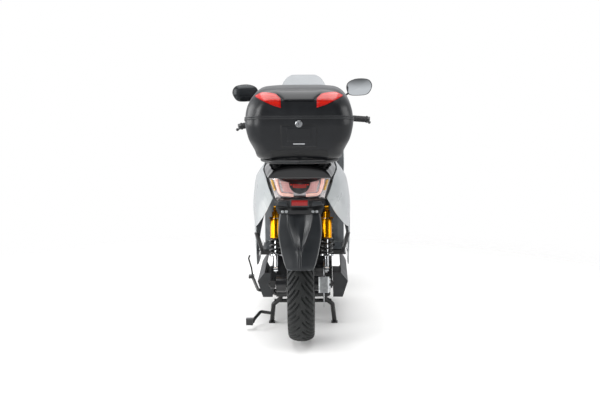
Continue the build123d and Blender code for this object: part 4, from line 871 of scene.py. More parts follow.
    def build_centre(self) -> None:
        """The dark middle of the light with its row of red LEDs, and the dark red wedge above."""
        outline = curve(((-0.36, 768), (-0.34, 750), (-0.24, 730), (0, 719), (0.24, 730), (0.34, 750),
                         (0.36, 768)), 31)
        rows = [[self.surface(s * (1 - t), z + (764 - z) * t, 9) for s, z in outline]
                for t in (0, 0.3, 0.6, 0.9)]
        dress(walled(grid("light_centre", np.array(rows)), at(0, 0, 740), 2, 0), GLOSS_BLACK,
              "chassis")
        wedge = [[self.surface(s, z, 8.5) for s in np.linspace(-0.72 + 0.5 * t, 0.72 - 0.5 * t, 25)]
                 for t, z in ((0, 785), (0.3, 779), (0.6, 773), (1, 765))]
        dress(walled(grid("light_wedge", np.array(wedge)), at(0, 0, 740), 1.5, 0),
              prisms_with_painted_glints("red_wedge_painted_glints", "#120202", "#3a0706", 6.0), "chassis")
        domes = []
        for row, count in ((0, 8), (1, 6)):
            for k in range(count):
                place = self.surface(0.08 * (k - (count - 1) / 2),
                                     760 - 10 * row - 0.6 * (count / 2 - abs(k - count / 2)), 6)
                domes.append(turned("led", ((2.3, 0), (2.1, 1.2), (1.3, 2.0), (0.02, 2.4)), place,
                                    Vector((0, -1, 0)), 12))
        dress(joined(domes, "brake_leds"), RED_DOTS, "chassis")

    def build_undertail(self) -> None:
        """The panel under the light: two angled faces beside the reflector, a flat below, and its bolts."""
        stations = []
        lines = (  # place ahead, height, share of the full width
            (-246, 697, 1.0), (-261, 692, 0.99), (-263, 676, 0.965), (-254, 667, 0.955), (-249, 662, 0.95),
            (-252, 656, 0.93), (-257, 650, 0.92), (-257, 634, 0.86), (-250, 631, 0.85))
        for back, z, wide in lines:
            xs = np.linspace(-110 * wide, 110 * wide, 45)
            stations.append([at(x, back + 12 * (abs(x) / 110) ** 3, z + 2 * (abs(x) > 48)) for x in xs])
        obj = grid("undertail_panel", np.array(stations))
        walled(obj, at(0, 0, 670), 2.5, 0.4)
        dress(obj, BLACK_PLASTIC, "chassis", ("undertail",), angle=25)
        for side, word in ((-1, "left"), (1, "right")):
            cover = slab(f"plate_lamp_cover_{word}", [(side * x, z) for x, z in
                                                      ((52, 668), (98, 676), (92, 690), (58, 689))],
                         -266.5, -256, "y", 1.5)
            dress(cover, GREY_PLASTIC, "chassis")
            for x in (57, 73):
                bolt = turned(f"plate_bolt_{word}_{x}",
                              ((6.5, 0), (6.5, 2.2), (5.2, 3.6), (3.0, 3.8), (2.8, 2.2), (0.05, 2.2)),
                              at(side * x, -257, 645), Vector((0, -1, 0)), 24)
                dress(bolt, ZINC, "chassis")

    def build_reflector(self) -> None:
        """The red reflector with its bright rim."""
        low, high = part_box("red_reflector")
        middle, size = (low + high) / 2, (high - low) / 2
        ring = []
        for grow, back in ((1.0, 0.2), (1.0, 5.4), (0.9, 5.9), (0.86, 4.6), (0.86, 0.2)):
            wide, tall = size.x - (1 - grow) * 28 * MM, size.z - (1 - grow) * 28 * MM
            line = [(wide * x, tall * z) for x, z in ((-1, -1), (1, -1), (1, 1), (-1, 1), (-1, -1))]
            ring.append([(middle.x + x, high.y - back * MM, middle.z + z) for x, z in line])
        rim = recalculated(grid("reflector_rim", np.array(ring), seam=True))
        modify(rim, "BEVEL", width=0.5 * MM, segments=2, limit_method="ANGLE", angle_limit=radians(30))
        dress(rim, GREY_PLASTIC, "chassis")
        face = slab("reflector_face", [(x * (size.x / MM - 4.6), middle.z / MM + z * (size.z / MM - 4.6))
                                       for x, z in ((-1, -1), (1, -1), (1, 1), (-1, 1))],
                    (high.y - AXLE.y) / MM - 4.8, (high.y - AXLE.y) / MM - 0.5, "y", 0.6)
        dress(face, prisms_with_painted_glints("red_face_painted_glints", "#5c0504", "#c01310", 4.0), "chassis",
              ("red_reflector",))

    def build_mudguard(self) -> None:
        """Rear mudguard: two ridges that run together, a crease below them, and turned-in edges."""
        def line(z: float, back: float, half: float, ridge: float, height: float, crease: float,
                 roof: float = 0.0) -> list[Vector]:
            """One level: turned-in edge, flank, ridge and middle, with a roof shape laid over them."""
            cols = ((1.0, 20), (0.97, 7), (0.93, 2.0), (0.5 * (0.93 + ridge), -0.5),
                    (ridge + 0.05, -0.5 - height * 0.2), (ridge, -0.5 - height),
                    (ridge * 0.82, -height * 0.5), (ridge * 0.45, height * 0.35), (0.0, -crease))
            right = [at(half * x, back + d - roof * max(0.0, 0.93 - x) / 0.93, z) for x, d in cols]
            return [Vector((-p.x, p.y, p.z)) for p in right] + right[-2::-1]

        stations = [
            line(633, -246, 88, 0.60, 7, -4), line(600, -257, 93, 0.54, 8, -3),
            line(560, -265, 95, 0.42, 8.5, -1), line(520, -272, 91, 0.28, 8, 1, 2),
            line(486, -277, 85, 0.14, 5, 3, 5), line(470, -279, 82, 0.10, 2, 2, 8),
            line(430, -284, 72, 0.10, 0.5, 1.0, 10), line(402, -287, 63, 0.10, 0.3, 0.8, 10),
            line(393, -287.5, 57, 0.10, 0.3, 0.8, 9),
        ]
        sections = np.array(stations)
        along = curve(sections, 60, [0, 33, 73, 113, 147, 163, 203, 231, 240])
        fine = np.array([self.refine(row, 3) for row in along])
        obj = grid("mudguard_shell", fine)
        walled(obj, at(0, 0, 500), 2.5, 0.5)
        dress(obj, GREY_PLASTIC, "chassis", ("rear_fender",), angle=24)

    @staticmethod
    def refine(row: np.ndarray, parts: int) -> np.ndarray:
        """A line of points with straight runs between them split into parts, so that its creases stay sharp."""
        steps = [row[k] + (row[k + 1] - row[k]) * t / parts for k in range(len(row) - 1)
                 for t in range(parts)]
        return np.array(steps + [row[-1]])


# ---------------------------------------------------------------- side panels
@dataclass
class SidePanels:
    """The painted panels on both sides of the tail and seat."""

    wall: float = 3.0
    stations: tuple = (
        (-188, ((118, 694), (130, 724), (141, 756), (150, 789))),
        (-150, ((136, 656), (152, 700), (160, 750), (157, 801))),
        (-100, ((150, 624), (172, 680), (178, 742), (163, 812))),
        (50, ((195, 545), (207, 640), (203, 745), (156, 836))),
        (250, ((219, 496), (227, 590), (213, 710), (162, 786))),
        (344, ((221, 478), (228, 570), (212, 690), (161, 766))),
        (378, ((222, 300), (228, 470), (215, 640), (160, 758))),
        (600, ((222, 264), (224, 360), (200, 540), (134, 700))),
        (648, ((222, 262), (224, 330), (196, 500), (130, 668))),
    )

    def build(self) -> None:
        """Builds both panels with their sills."""
        sections = rows_at(self.stations)
        rows = loft(sections, 44, 96)
        panel = walled(grid("side_panel_right_skin", rows), at(0, 200, 600), self.wall, 0.8)
        sill_line = [(648, ((222, 262), (224, 292), (219, 320))), (800, ((222, 262), (224, 291), (217, 315))),
                     (950, ((222, 262), (224, 290), (216, 312)))]
        sill = walled(grid("sill", loft(rows_at(sill_line), 12, 24)), at(0, 800, 290), self.wall, 0.6)
        right = joined([panel, sill], "side_panel_right_skin")
        left = copied(right, "side_panel_left_skin", MIRROR)
        dress(right, PAINT, "chassis", ("right_side_panel",))
        dress(left, PAINT, "chassis", ("left_side_panel",))


# ---------------------------------------------------------------- wheels
@dataclass
class Tyre:
    """A tubeless scooter tyre with a directional tread of slanting grooves."""

    name: str
    node: str
    body: str
    radius: float
    width: float
    rim_width: float
    to_frame: Matrix  # from wheel coordinates (right, rearward, up), in metres
    pitches: int = 27
    groove: float = 6.5
    bead: float = 172.5

    def profile(self) -> np.ndarray:
        """Points (across, radius) from bead to bead over the tread, then back inside."""
        half, rim = self.width / 2, self.rim_width / 2
        outer = ((rim - 1, self.bead), (rim + 3, self.bead + 9), (half * 0.9, self.bead + 24),
                 (half * 0.985, self.bead + 40), (half * 0.995, self.radius - 36),
                 (half * 0.93, self.radius - 21), (half * 0.74, self.radius - 10),
                 (half * 0.45, self.radius - 3.2), (half * 0.2, self.radius - 0.5), (0, self.radius))
        right = curve(outer, 42)
        left = right[:-1].copy()
        left[:, 0] *= -1
        inner = curve(((-(rim - 7), self.bead), (-half * 0.72, self.bead + 34), (0, self.radius - 22),
                       (half * 0.72, self.bead + 34), (rim - 7, self.bead)), 12)
        return np.concatenate([left, right[::-1], inner[::-1], left[:1]])

    def build(self) -> None:
        """Turns the profile round the axle, sinks the grooves and dresses the tyre."""
        profile = self.profile()
        around = np.linspace(0, 2 * pi, 641)
        across = np.abs(profile[:, 0]) / (self.width / 2)
        side = np.sign(profile[:, 0])
        outside = profile[:, 1] > self.radius - 30
        rows = []
        for turn in around:
            phase = turn * self.pitches / (2 * pi) + np.where(side > 0, 0.5, 0.0)
            sweep = -1.5 * across**0.85
            depth = np.zeros(len(profile))
            for start, low, high, wide in ((0.0, 0.06, 0.93, 0.14), (0.5, 0.34, 0.97, 0.12)):
                gap = np.abs((phase - sweep + start) % 1.0 - 0.5)
                cut = np.clip((wide - gap) / 0.05, 0, 1)
                ends = np.clip((across - low) / 0.04, 0, 1) * np.clip((high - across) / 0.05, 0, 1)
                depth = np.maximum(depth, cut * ends)
            radius = profile[:, 1] - np.where(outside, depth * self.groove, 0)
            rows.append(np.stack([profile[:, 0], -radius * cos(turn), radius * sin(turn)], axis=1) * MM)
        obj = recalculated(grid(self.name, np.array(rows), seam=True))
        moved(obj, self.to_frame)
        dress(obj, TYRE_RUBBER, self.body, (self.node,), angle=40)


# ---------------------------------------------------------------- shock absorbers
@dataclass
class Shocks:
    """Coil springs and gold reservoirs' end caps of the two rear shock absorbers."""

    spacing: float = 116.0
    top: tuple[float, float] = (85.0, 605.0)
    low: tuple[float, float] = (20.0, 338.0)
    coil_radius: float = 25.4
    wire: float = 3.5
    coils: float = 7.5
    coil_span: tuple[float, float] = (47.5, 204.5)
    reservoir: tuple[float, float, float] = (55.5, 50.0, 136.0)  # behind the damper, start and end along it
    reservoir_radius: float = 22.5
    keep: float = 0.57

    def axis(self) -> Vector:
        """The direction from the top eye to the lower one."""
        return (at(0, *self.low) - at(0, *self.top)).normalized()

    def build(self) -> None:
        """Builds the springs, the reservoirs' caps and the adjusters."""
        axis = self.axis()
        behind = Vector((1, 0, 0)).cross(axis)
        behind = behind if behind.y < 0 else -behind
        for side, word in ((-1, "left"), (1, "right")):
            top = at(side * self.spacing, *self.top)
            self.spring(word, top, axis)
            offset, start, end = self.reservoir
            r = self.reservoir_radius
            origin = top + behind * offset * MM
            sleeve = turned(f"reservoir_sleeve_{word}", (
                (r - 4, start - 0.5), (r - 0.5, start - 0.5), (r + 0.4, start + 2), (r + 0.4, start + 12),
                (r - 0.4, start + 13), (r - 0.4, start + 15), (r + 0.4, start + 16), (r + 0.4, end - 16),
                (r - 0.4, end - 15), (r - 0.4, end - 13), (r + 0.4, end - 12), (r + 0.4, end - 3),
                (r - 3, end + 0.4), (4, end + 0.5), (0.05, end - 2)), origin, axis)
            dress(sleeve, GOLD, "shock_body")
            valve = turned(f"reservoir_valve_{word}",
                           ((0.05, start - 12), (7, start - 12), (8, start - 10), (8, start - 4),
                            (r - 3, start - 3.5), (r - 3, start), (0.05, start)), origin, axis, 32)
            dress(valve, STEEL, "shock_body")

    def spring(self, word: str, top: Vector, axis: Vector) -> None:
        """One coil spring, riding on its shock absorber's body."""
        start, end = self.coil_span
        right = Vector((1, 0, 0))
        other = axis.cross(right)
        rows = []
        steps = int(self.coils * 28)
        for k in range(steps + 1):
            turn = 2 * pi * self.coils * k / steps
            share = k / steps
            run = start + (end - start) * (share + 0.03 * sin(2 * pi * share) * -1)
            out = right * cos(turn) + other * sin(turn)
            centre = top + axis * run * MM + out * self.coil_radius * MM
            tangent = (other * cos(turn) - right * sin(turn) + axis * 0.14).normalized()
            upward = tangent.cross(out)
            rows.append([centre + (out * cos(t) + upward * sin(t)) * self.wire * MM
                         for t in np.linspace(0, 2 * pi, 11)])
        middle = [[sum(row[:-1], Vector()) / 10] * 11 for row in (rows[0], rows[-1])]
        obj = recalculated(grid(f"shock_spring_{word}", np.array([middle[0], *rows, middle[1]]), seam=True))
        dress(obj, SPRING_COAT, "shock_body", ("shock_springs",) if word == "left" else ())
        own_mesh(obj)


# ---------------------------------------------------------------- steering assembly
def steer(right: float, forward: float, up: float) -> Vector:
    """A point of the steering coordinates in millimetres, in the part's frame."""
    return STEERING @ (Vector((right, forward, up)) * MM)


@dataclass
class Cockpit:
    """Mirrors, ribbed grips and display on the handlebar."""

    head: tuple[float, float, float] = (296.0, 48.0, 922.0)
    rake: float = 26.5
    outline: tuple = ((-67, -14), (-53, -40), (-10, -45), (40, -39), (62, -14), (67, 14), (52, 37),
                      (24, 45), (-18, 44), (-52, 31), (-67, 12))
    grip_start: float = 204.0
    grip_end: float = 329.0
    grip_radius: float = 16.0
    grip_height: float = 783.0

    def build(self) -> None:
        """Builds both mirrors, both grips and the display."""
        for side, word in ((-1, "left"), (1, "right")):
            self.mirror(side, word)
            self.grip(side, word)
        self.display()

    def ring(self, side: int) -> np.ndarray:
        """The mirror's rounded outline, closed."""
        points = np.array([*self.outline, self.outline[0]], float)
        count = len(points) - 1
        t = np.linspace(0, count, 73)
        k = np.minimum(t.astype(int), count - 1)
        s = (t - k)[:, None]
        p = [points[(k + j) % count] for j in (-1, 0, 1, 2)]
        line = 0.5 * (2 * p[1] + (p[2] - p[0]) * s + (2 * p[0] - 5 * p[1] + 4 * p[2] - p[3]) * s**2
                      + (3 * p[1] - p[0] - 3 * p[2] + p[3]) * s**3)
        return line * (side * 0.985, 0.985)

    def mirror(self, side: int, word: str) -> None:
        """One mirror's housing and its glass."""
        x, y, z = self.head
        place = (STEERING @ Matrix.Translation(Vector((side * x, y, z)) * MM)
                 @ Matrix.Rotation(radians(-4 * side), 4, "Z")
                 @ Matrix.Rotation(radians(-self.rake), 4, "X"))
        ring = self.ring(side)
        shape = ((-2.5, 0.93), (-5.6, 0.94), (-6.2, 0.965), (-5.4, 0.99), (-2, 1.0), (6, 0.965),
                 (13, 0.89), (19, 0.77), (23, 0.6), (25.4, 0.4), (26.4, 0.18), (26.6, 0.0))
        rows = [[(px * k * MM, depth * MM, pz * k * MM) for px, pz in ring] for depth, k in shape]
        shell = moved(recalculated(grid(f"mirror_housing_{word}", np.array(rows), seam=True)), place)
        glass_rows = [[(px * k * MM, (-3.4 - 1.2 * (1 - k * k)) * MM, pz * k * MM) for px, pz in ring]
                      for k in (0.932, 0.8, 0.6, 0.4, 0.2, 0.0)]
        glass = moved(grid(f"mirror_glass_{word}", np.array(glass_rows), seam=True), place)
        walled(glass, place @ Vector((0, 0.1, 0)), 0.8, 0)
        node = f"{word}_mirror_head"
        dress(shell, BLACK_PLASTIC, node, (node,), angle=45)
        dress(glass, MIRROR_GLASS, node, angle=45)

    def bar_point(self, x: float) -> Vector:
        """A point of the bar's grip section, in the part's frame."""
        out = abs(x) - 203
        return steer(x, -19 - out * 27 / 126, self.grip_height - out * 0.02)

    def grip(self, side: int, word: str) -> None:
        """A rubber grip with rings, a flange and a rounded end."""
        start, end = self.bar_point(side * self.grip_start), self.bar_point(side * self.grip_end)
        length = (end - start).length / MM
        r = self.grip_radius
        profile = [(11.3, 0.0), (r + 4, 0.0), (r + 5, 1.0), (r + 5, 4.6), (r + 3, 6.0), (r - 0.6, 7.2)]
        for k in range(14):
            base = 12 + k * (length - 26) / 14
            profile += [(r - 0.9, base), (r, base + 0.9), (r + 0.1, base + 5.2), (r - 0.9, base + 6.2)]
        profile += [(r - 0.6, length - 10), (r + 2, length - 8), (r + 2, length - 1), (r + 0.6, length),
                    (11.3, length)]
        body = "throttle" if side > 0 else "steering"
        node = "throttle_grip" if side > 0 else "left_grip"
        obj = turned(f"ribbed_grip_{word}", [*profile, profile[0]], start, end - start, 40)
        dress(obj, GRIP_RUBBER, body, (node,), angle=40)

    def display(self) -> None:
        """Tinted glass on the cover's rider side."""
        place = (STEERING @ Matrix.Translation(Vector((0, -40, 808)) * MM)
                 @ Matrix.Rotation(radians(28), 4, "X"))
        for name, half, low, high, finish in (("display_glass", (53, 30), 4.1, 5.2, BLACK_GLASS),):
            deselect()
            bpy.ops.mesh.primitive_cube_add(size=1)
            obj = bpy.context.object
            obj.scale = (2 * half[0] * MM, 2 * half[1] * MM, (high - low) * MM)
            obj.location = (0, 0, (high + low) / 2 * MM)
            keep_place(obj, name)
            modify(obj, "BEVEL", width=0.5 * MM, segments=2)
            moved(obj, place)
            dress(obj, finish, "steering")


# ---------------------------------------------------------------- front bodywork
@dataclass
class FrontBody:
    """Leg shield and nose, screen and headlamp."""

    wall: float = 3.0
    cowl: tuple = (  # height, half line of (x, ahead)
        (290, ((0, 1036), (70, 1035), (130, 1028), (208, 985))),
        (440, ((0, 1040), (75, 1039), (136, 1031), (208, 985))),
        (600, ((0, 1042), (80, 1041), (140, 1034), (208, 985))),
        (646, ((0, 1054), (80, 1050), (150, 1038), (208, 988))),
        (712, ((0, 1186), (70, 1171), (140, 1100), (210, 990))),
        (764, ((0, 1285), (66, 1264), (140, 1176), (210, 995))),
        (840, ((0, 1310), (62, 1288), (130, 1190), (196, 1004))),
        (930, ((0, 1244), (60, 1228), (112, 1170), (170, 1014))))
    screen: tuple = (
        (885, ((0, 1290), (64, 1270), (127, 1186))), (930, ((0, 1250), (62, 1233), (116, 1174))),
        (985, ((0, 1222), (68, 1206), (130, 1148))), (1040, ((0, 1192), (72, 1177), (138, 1122))),
        (1120, ((0, 1150), (62, 1139), (112, 1100))), (1155, ((0, 1131), (48, 1124), (88, 1098))),
        (1169.5, ((0, 1122.5), (34, 1119), (62, 1107))))
    lamp_half: float = 60.0
    lamp_low: float = 775.0
    lamp_high: float = 838.0
    column_bore: float = 31.0

    def rows(self, table: Sequence, across: int, along: int) -> np.ndarray:
        """A dense grid through lines of (x, ahead) at their heights."""
        sections = np.array([[at(x, a, z) for x, a in mirrored(line)] for z, line in table])
        return loft(sections, across, along)

    def build(self) -> None:
        """Builds and dresses the front bodywork."""
        cowl = grid("leg_shield_skin", self.rows(self.cowl, 61, 100))
        walled(cowl, at(0, 900, 700), self.wall, 0)
        self.cut(cowl, slab("cut", self.lamp_face(0.8), 1120, 1340, "y", 0))
        low, high = steer(0, 0, 436), steer(0, 0, 528)
        length = (high - low).length / MM
        self.cut(cowl, turned("cut",
                              ((0.01, 0), (self.column_bore, 0), (self.column_bore, length), (0.01, length)),
                              low, high - low))
        dress(cowl, PAINT, "chassis", ("front_cowl",), angle=30)
        screen = grid("wind_screen_sheet", self.rows(self.screen, 49, 60))
        walled(screen, at(0, 900, 1000), self.wall, 0.8)
        dress(screen, SCREEN, "chassis", ("windscreen",))
        self.headlamp()

    @staticmethod
    def cut(obj: bpy.types.Object, tool: bpy.types.Object) -> None:
        """Cuts one closed shape out of another and removes the tool."""
        modify(obj, "BOOLEAN", object=tool, operation="DIFFERENCE", solver="EXACT")
        bpy.data.objects.remove(tool)

    def lamp_face(self, grow: float) -> list[Row]:
        """The headlamp's outline, grown by some millimetres."""
        h, low, high = self.lamp_half + grow, self.lamp_low - grow, self.lamp_high + grow
        return [(-h, low + 22), (-h + 26, low), (h - 26, low), (h, low + 22), (h, high), (-h, high)]

    def headlamp(self) -> None:
        """Clear lens, dark bowl, two projector lamps and a light bar."""
        face = np.array(self.lamp_face(-0.8))
        lens_rows = []
        for z in np.linspace(self.lamp_low + 0.8, self.lamp_high - 0.8, 12):
            half = self.lamp_half - 0.8 - max(0.0, (self.lamp_low + 22 - z)) * 26 / 22
            nose = 1285 + (z - 764) * 0.33
            lens_rows.append([at(x, min(1303.5, nose) - 20 * abs(x / 60) ** 1.8, z)
                              for x in np.linspace(-half, half, 25)])
        lens = walled(grid("headlamp_lens", np.array(lens_rows)), at(0, 1200, 800), 2.0, 0.4)
        dress(lens, CLEAR_LENS, "chassis")
        bowl = slab("headlamp_bowl", [tuple(p) for p in face], 1225, 1236, "y", 1.0)
        dress(bowl, GLOSS_BLACK, "chassis", ("headlamp",))
        for side, word in ((-1, "left"), (1, "right")):
            origin = at(side * 30, 1236, 808)
            cup = turned(f"projector_{word}",
                         ((19, 0), (21, 2), (21, 18), (19.5, 20), (17.5, 18), (17, 9), (0.05, 6)), origin,
                         Vector((0, 1, 0)))
            dress(cup, CHROME, "chassis")
            ball = turned(f"projector_lens_{word}",
                          ((16.8, 9), (16, 14), (13, 19), (8, 22.5), (0.05, 24)), origin, Vector((0, 1, 0)))
            dress(ball, CLEAR_LENS, "chassis")
        bar = slab("running_light", ((-46, 784), (46, 784), (50, 789), (-50, 789)), 1236, 1252, "y", 0.8)
        dress(bar, Finish("frosted_white_light_guide", "#f2f4f5", 0.4, ior=1.49,
                          grain=Grain.SMOOTH, relief=0.03, glow="#ffffff", glow_strength=0.8),
              "chassis")


# ---------------------------------------------------------------- seat
@dataclass
class Seat:
    """Foam cushion under sewn vinyl, swelled by simulation, with pressed seams."""

    stations: tuple = (  # ahead, half width, low, high, shoulder
        (134, 108, 801, 835, 22), (172, 126, 793, 849, 26), (330, 136, 769, 847, 28),
        (400, 136, 758, 810, 24), (540, 126, 739, 799, 26), (670, 96, 729, 789, 26), (736, 60, 725, 762, 18))
    voxel: float = 5.0
    cap: float = 6.0
    seam_places: tuple = (356.0, 398.0)
    seam_depth: float = 2.4
    seam_width: float = 4.0

    def ring(self, half: float, low: float, high: float, shoulder: float) -> np.ndarray:
        """A closed section of the cushion: flat below, rounded shoulders and a low crown."""
        top = curve(((half, low + 4), (half + 3, high - shoulder), (half - 8, high - 9),
                     (half - 34, high - 3), (0, high)), 16)
        left = top[::-1][1:] * (-1, 1)
        bottom = [(x, low) for x in np.linspace(-half + 3, half - 3, 12)]
        return np.array([*top, *left, *bottom, top[0]])

    def build(self) -> None:
        """Builds the cushion and presses its seams."""
        places = [s[0] for s in self.stations]
        rings = curve(np.array([self.ring(*s[1:]) for s in self.stations]), 44, places)
        rows = np.array([[at(x, a, z) for x, z in ring]
                         for ring, a in zip(rings, np.linspace(places[0], places[-1], 44))])
        obj = grid("cushion_cover", rows, seam=True)
        with editing(obj):
            bpy.ops.mesh.select_mode(type="EDGE")
            bpy.ops.mesh.select_all(action="DESELECT")
            bpy.ops.mesh.select_non_manifold(extend=False)
            bpy.ops.mesh.edge_face_add()
            bpy.ops.mesh.select_all(action="SELECT")
            bpy.ops.mesh.normals_make_consistent(inside=False)
        modify(obj, "REMESH", mode="VOXEL", voxel_size=self.voxel * MM)
        self.swell(obj)
        modify(obj, "SUBSURF", levels=1, render_levels=1)
        self.press_seams(obj)
        dress(obj, VINYL, "seat", ("seat_cushion",), angle=60)

    def swell(self, obj: bpy.types.Object) -> None:
        """Lets the cover bulge under pressure, held along its underside."""
        before = np.zeros(len(obj.data.vertices) * 3, np.float32)
        obj.data.vertices.foreach_get("co", before)
        before = before.reshape(-1, 3)
        held = obj.vertex_groups.new(name="held")
        held.add([v.index for v in obj.data.vertices if v.normal.z < -0.5], 1.0, "REPLACE")
        cloth = obj.modifiers.new("Cloth", "CLOTH")
        cloth.settings.use_pressure = True
        cloth.settings.uniform_pressure_force = 4.0
        cloth.settings.effector_weights.gravity = 0.0
        cloth.settings.vertex_group_mass = "held"
        cloth.settings.quality = 5
        cloth.point_cache.frame_start, cloth.point_cache.frame_end = 1, 20
        scene = bpy.context.scene
        for number in range(1, 21):
            scene.frame_set(number)
        pick(obj)
        bpy.ops.object.modifier_apply(modifier=cloth.name)
        scene.frame_set(1)
        after = np.zeros(len(obj.data.vertices) * 3, np.float32)
        obj.data.vertices.foreach_get("co", after)
        step = after.reshape(-1, 3) - before
        size = np.linalg.norm(step, axis=1, keepdims=True)
        step *= np.minimum(1.0, self.cap * MM / np.maximum(size, 1e-9))
        obj.data.vertices.foreach_set("co", np.ascontiguousarray(before + step).reshape(-1))
        obj.data.update()
        obj.vertex_groups.clear()

    def press_seams(self, obj: bpy.types.Object) -> None:
        """Presses the cross seams and the two long seams into the cover."""
        count = len(obj.data.vertices)
        flat, normals = np.zeros(count * 3, np.float32), np.zeros(count * 3, np.float32)
        obj.data.vertices.foreach_get("co", flat)
        obj.data.vertices.foreach_get("normal", normals)
        places, normals = flat.reshape(-1, 3), normals.reshape(-1, 3)
        near = np.abs(np.abs(places[:, 0]) - 0.088 + 0.16 * np.maximum(0.0, places[:, 1] + 0.12))
        for place in self.seam_places:
            near = np.minimum(near, np.abs(places[:, 1] - AXLE.y - place * MM))
        press = self.seam_depth * MM * np.clip(1 - near / (self.seam_width * MM), 0, 1) ** 2
        press[normals[:, 2] < 0.15] = 0
        obj.data.vertices.foreach_set("co",
                                      np.ascontiguousarray(places - normals * press[:, None]).reshape(-1))
        obj.data.update()


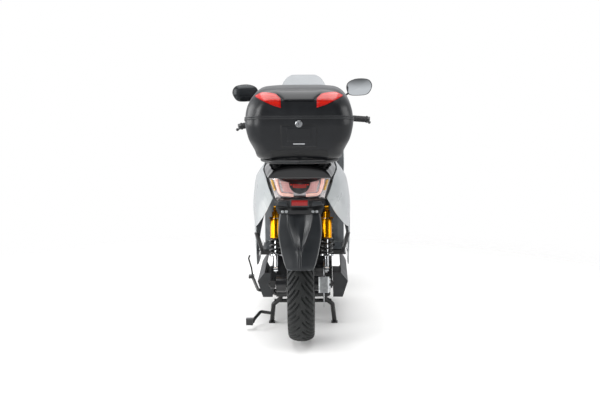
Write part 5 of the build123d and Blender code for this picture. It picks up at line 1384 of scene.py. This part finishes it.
# ---------------------------------------------------------------- studio
@dataclass
class Studio:
    """White seamless floor and backdrop, soft boxes and the camera behind the scooter."""

    behind: float = 5.846
    height: float = 1.49
    right: float = 0.109
    pitch: float = 8.09
    yaw: float = 1.10
    roll: float = -0.48
    lens: float = 78.8

    def build(self) -> None:
        """Builds floor, sky, lights and camera."""
        self.floor()
        self.sky()
        for name, place, size, watts, turn in (
            ("top_softbox", (0, -0.75, 3.3), (3.0, 4.4), 135, (0, 0, 0)),
            ("left_softbox", (-3.4, -0.4, 1.7), (2.0, 3.0), 95, (0, -78, 0)),
            ("right_softbox", (3.3, -1.5, 1.7), (1.6, 2.6), 42, (0, 80, -22)),
            ("rear_softbox", (-3.0, -4.3, 1.9), (1.5, 2.2), 100, (82, 0, -42)),
        ):
            self.light(name, place, size, watts, turn)
        self.camera()

    def floor(self) -> None:
        """A white floor that fades into the white surroundings like a paper sweep."""
        deselect()
        bpy.ops.mesh.primitive_plane_add(size=60, location=(0, 0, 0))
        obj = bpy.context.object
        keep_place(obj, "studio_floor")
        material, tree = new_tree("matt_white_paper_sweep")
        place = add(tree, "ShaderNodeTexCoord").outputs["Object"]
        noise = add(tree, "ShaderNodeTexNoise", {"Vector": place, "Scale": 0.6, "Detail": 1.0})
        tone = add(tree, "ShaderNodeMix",
                   {"Factor": noise.outputs["Fac"], 6: linear("#f3f2f0"), 7: linear("#fafaf9")},
                   data_type="RGBA").outputs[2]
        shader = add(tree, "ShaderNodeBsdfPrincipled", {"Base Color": tone, "Roughness": 0.9})
        shader.inputs["Specular IOR Level"].default_value = 0.15
        parts = add(tree, "ShaderNodeVectorMath", {0: place}, operation="LENGTH")
        fade = add(tree, "ShaderNodeMapRange",
                   {"Value": parts.outputs["Value"], "From Min": 1.2, "From Max": 2.5},
                   interpolation_type="SMOOTHSTEP")
        clear = add(tree, "ShaderNodeBsdfTransparent")
        both = add(tree, "ShaderNodeMixShader", {0: fade.outputs["Result"], 1: shader.outputs["BSDF"],
                                                 2: clear.outputs["BSDF"]})
        add(tree, "ShaderNodeOutputMaterial", {"Surface": both.outputs["Shader"]})
        obj.data.materials.append(material)

    def sky(self) -> None:
        """White surroundings: dim behind and above the camera, with the white floor running on below."""
        world = bpy.data.worlds.new("studio_surroundings")
        world.use_nodes = True
        tree = world.node_tree
        tree.nodes.clear()
        place = add(tree, "ShaderNodeTexCoord").outputs["Generated"]
        parts = add(tree, "ShaderNodeSeparateXYZ", {0: place})
        front = add(tree, "ShaderNodeMapRange",
                    {"Value": parts.outputs["Y"], "From Min": -0.6, "From Max": 0.6,
                     "To Min": 0.05, "To Max": 0.8})
        below = add(tree, "ShaderNodeMapRange",
                    {"Value": parts.outputs["Z"], "From Min": 0.06, "From Max": -0.08})
        level = add(tree, "ShaderNodeMix",
                    {"Factor": below.outputs["Result"], "A": front.outputs["Result"], "B": 0.72})
        lit = add(tree, "ShaderNodeBackground",
                  {"Color": linear("#fbfcff"), "Strength": level.outputs["Result"]})
        seen = add(tree, "ShaderNodeBackground", {"Color": linear("#ffffff"), "Strength": 1.0})
        ray = add(tree, "ShaderNodeLightPath").outputs["Is Camera Ray"]
        both = add(tree, "ShaderNodeMixShader", {0: ray, 1: lit.outputs[0], 2: seen.outputs[0]})
        add(tree, "ShaderNodeOutputWorld", {"Surface": both.outputs[0]})
        bpy.context.scene.world = world
        bpy.context.scene.view_settings.view_transform = "Standard"

    def light(self, name: str, place: Row, size: Row, watts: float, turn: Row) -> None:
        """One rectangular soft box."""
        data = bpy.data.lights.new(name, "AREA")
        data.shape = "RECTANGLE"
        data.size, data.size_y = size
        data.energy = watts
        obj = bpy.data.objects.new(name, data)
        obj.location = place
        obj.rotation_euler = [radians(k) for k in turn]
        bpy.context.scene.collection.objects.link(obj)

    def camera(self) -> None:
        """A long lens at standing height, straight behind."""
        data = bpy.data.cameras.new("camera")
        data.lens, data.sensor_width = self.lens, 36.0
        obj = bpy.data.objects.new("camera", data)
        view = (Matrix.Rotation(radians(self.yaw), 4, "Z") @ Matrix.Rotation(radians(90 - self.pitch), 4, "X")
                @ Matrix.Rotation(radians(self.roll), 4, "Z"))
        obj.matrix_world = Matrix.Translation((self.right, AXLE.y - self.behind, self.height)) @ view
        bpy.context.scene.collection.objects.link(obj)
        bpy.context.scene.camera = obj


# ---------------------------------------------------------------- carried-over nodes
CAD_FINISHES = {
    PAINT: "front_cowl front_fender",
    BLACK_PLASTIC: "handlebar_cover right_controls left_controls rack horn_button start_button indicator_switch "
                   "right_lower_cowl left_lower_cowl",
    GREY_PLASTIC: "inner_shield floorboard",
    DEEP_BLACK: "storage_bucket seat_pan power_pack",
    GRIP_RUBBER: "left_grip throttle_grip",
    BLACK_ALLOY: "rear_rim front_rim left_lever right_lever drive_unit",
    CAST_ALLOY: "rear_caliper front_caliper",
    STEEL: "rear_disc front_disc",
    CHROME: "shock_rods",
    GOLD: "shock_bodies stanchions",
    FRAME_COAT: "frame swingarm centre_stand side_stand handlebar left_mirror_stem right_mirror_stem steering_stem "
                "fork_lowers left_peg right_peg undertail",
    SCREEN: "windscreen",
    CLEAR_LENS: "headlamp",
    VINYL: "seat_cushion",
}


def dress_nodes() -> None:
    """Gives every CAD node a finish."""
    named = {node: finish for finish, nodes in CAD_FINISHES.items() for node in nodes.split()}
    for node, obj in frame["nodes"].items():
        obj.data.materials.clear()
        obj.data.materials.append(named.get(node, BLACK_PLASTIC).material())
        if node not in named and not obj.hide_render:
            LOG.info("no finish named for %s", node)


def main() -> None:
    """Builds the scooter's looks in order."""
    Studio().build()
    dress_nodes()
    TopCase().build()
    Tail().build()
    SidePanels().build()
    wheel = Matrix.Translation(Vector((0, AXLE.y, AXLE.z)))
    Tyre("rear_tyre_tread", "rear_tyre", "rear_wheel", 261.5, 120, 88, wheel).build()
    front = STEERING @ Matrix.Translation((0, 0.035, 0))
    Tyre("front_tyre_tread", "front_tyre", "front_wheel", 265.4, 110, 76, front, pitches=36).build()
    Shocks().build()
    Cockpit().build()
    FrontBody().build()
    Seat().build()


if __name__ == "__main__":
    logging.basicConfig(level=logging.INFO, format="%(message)s")
    main()
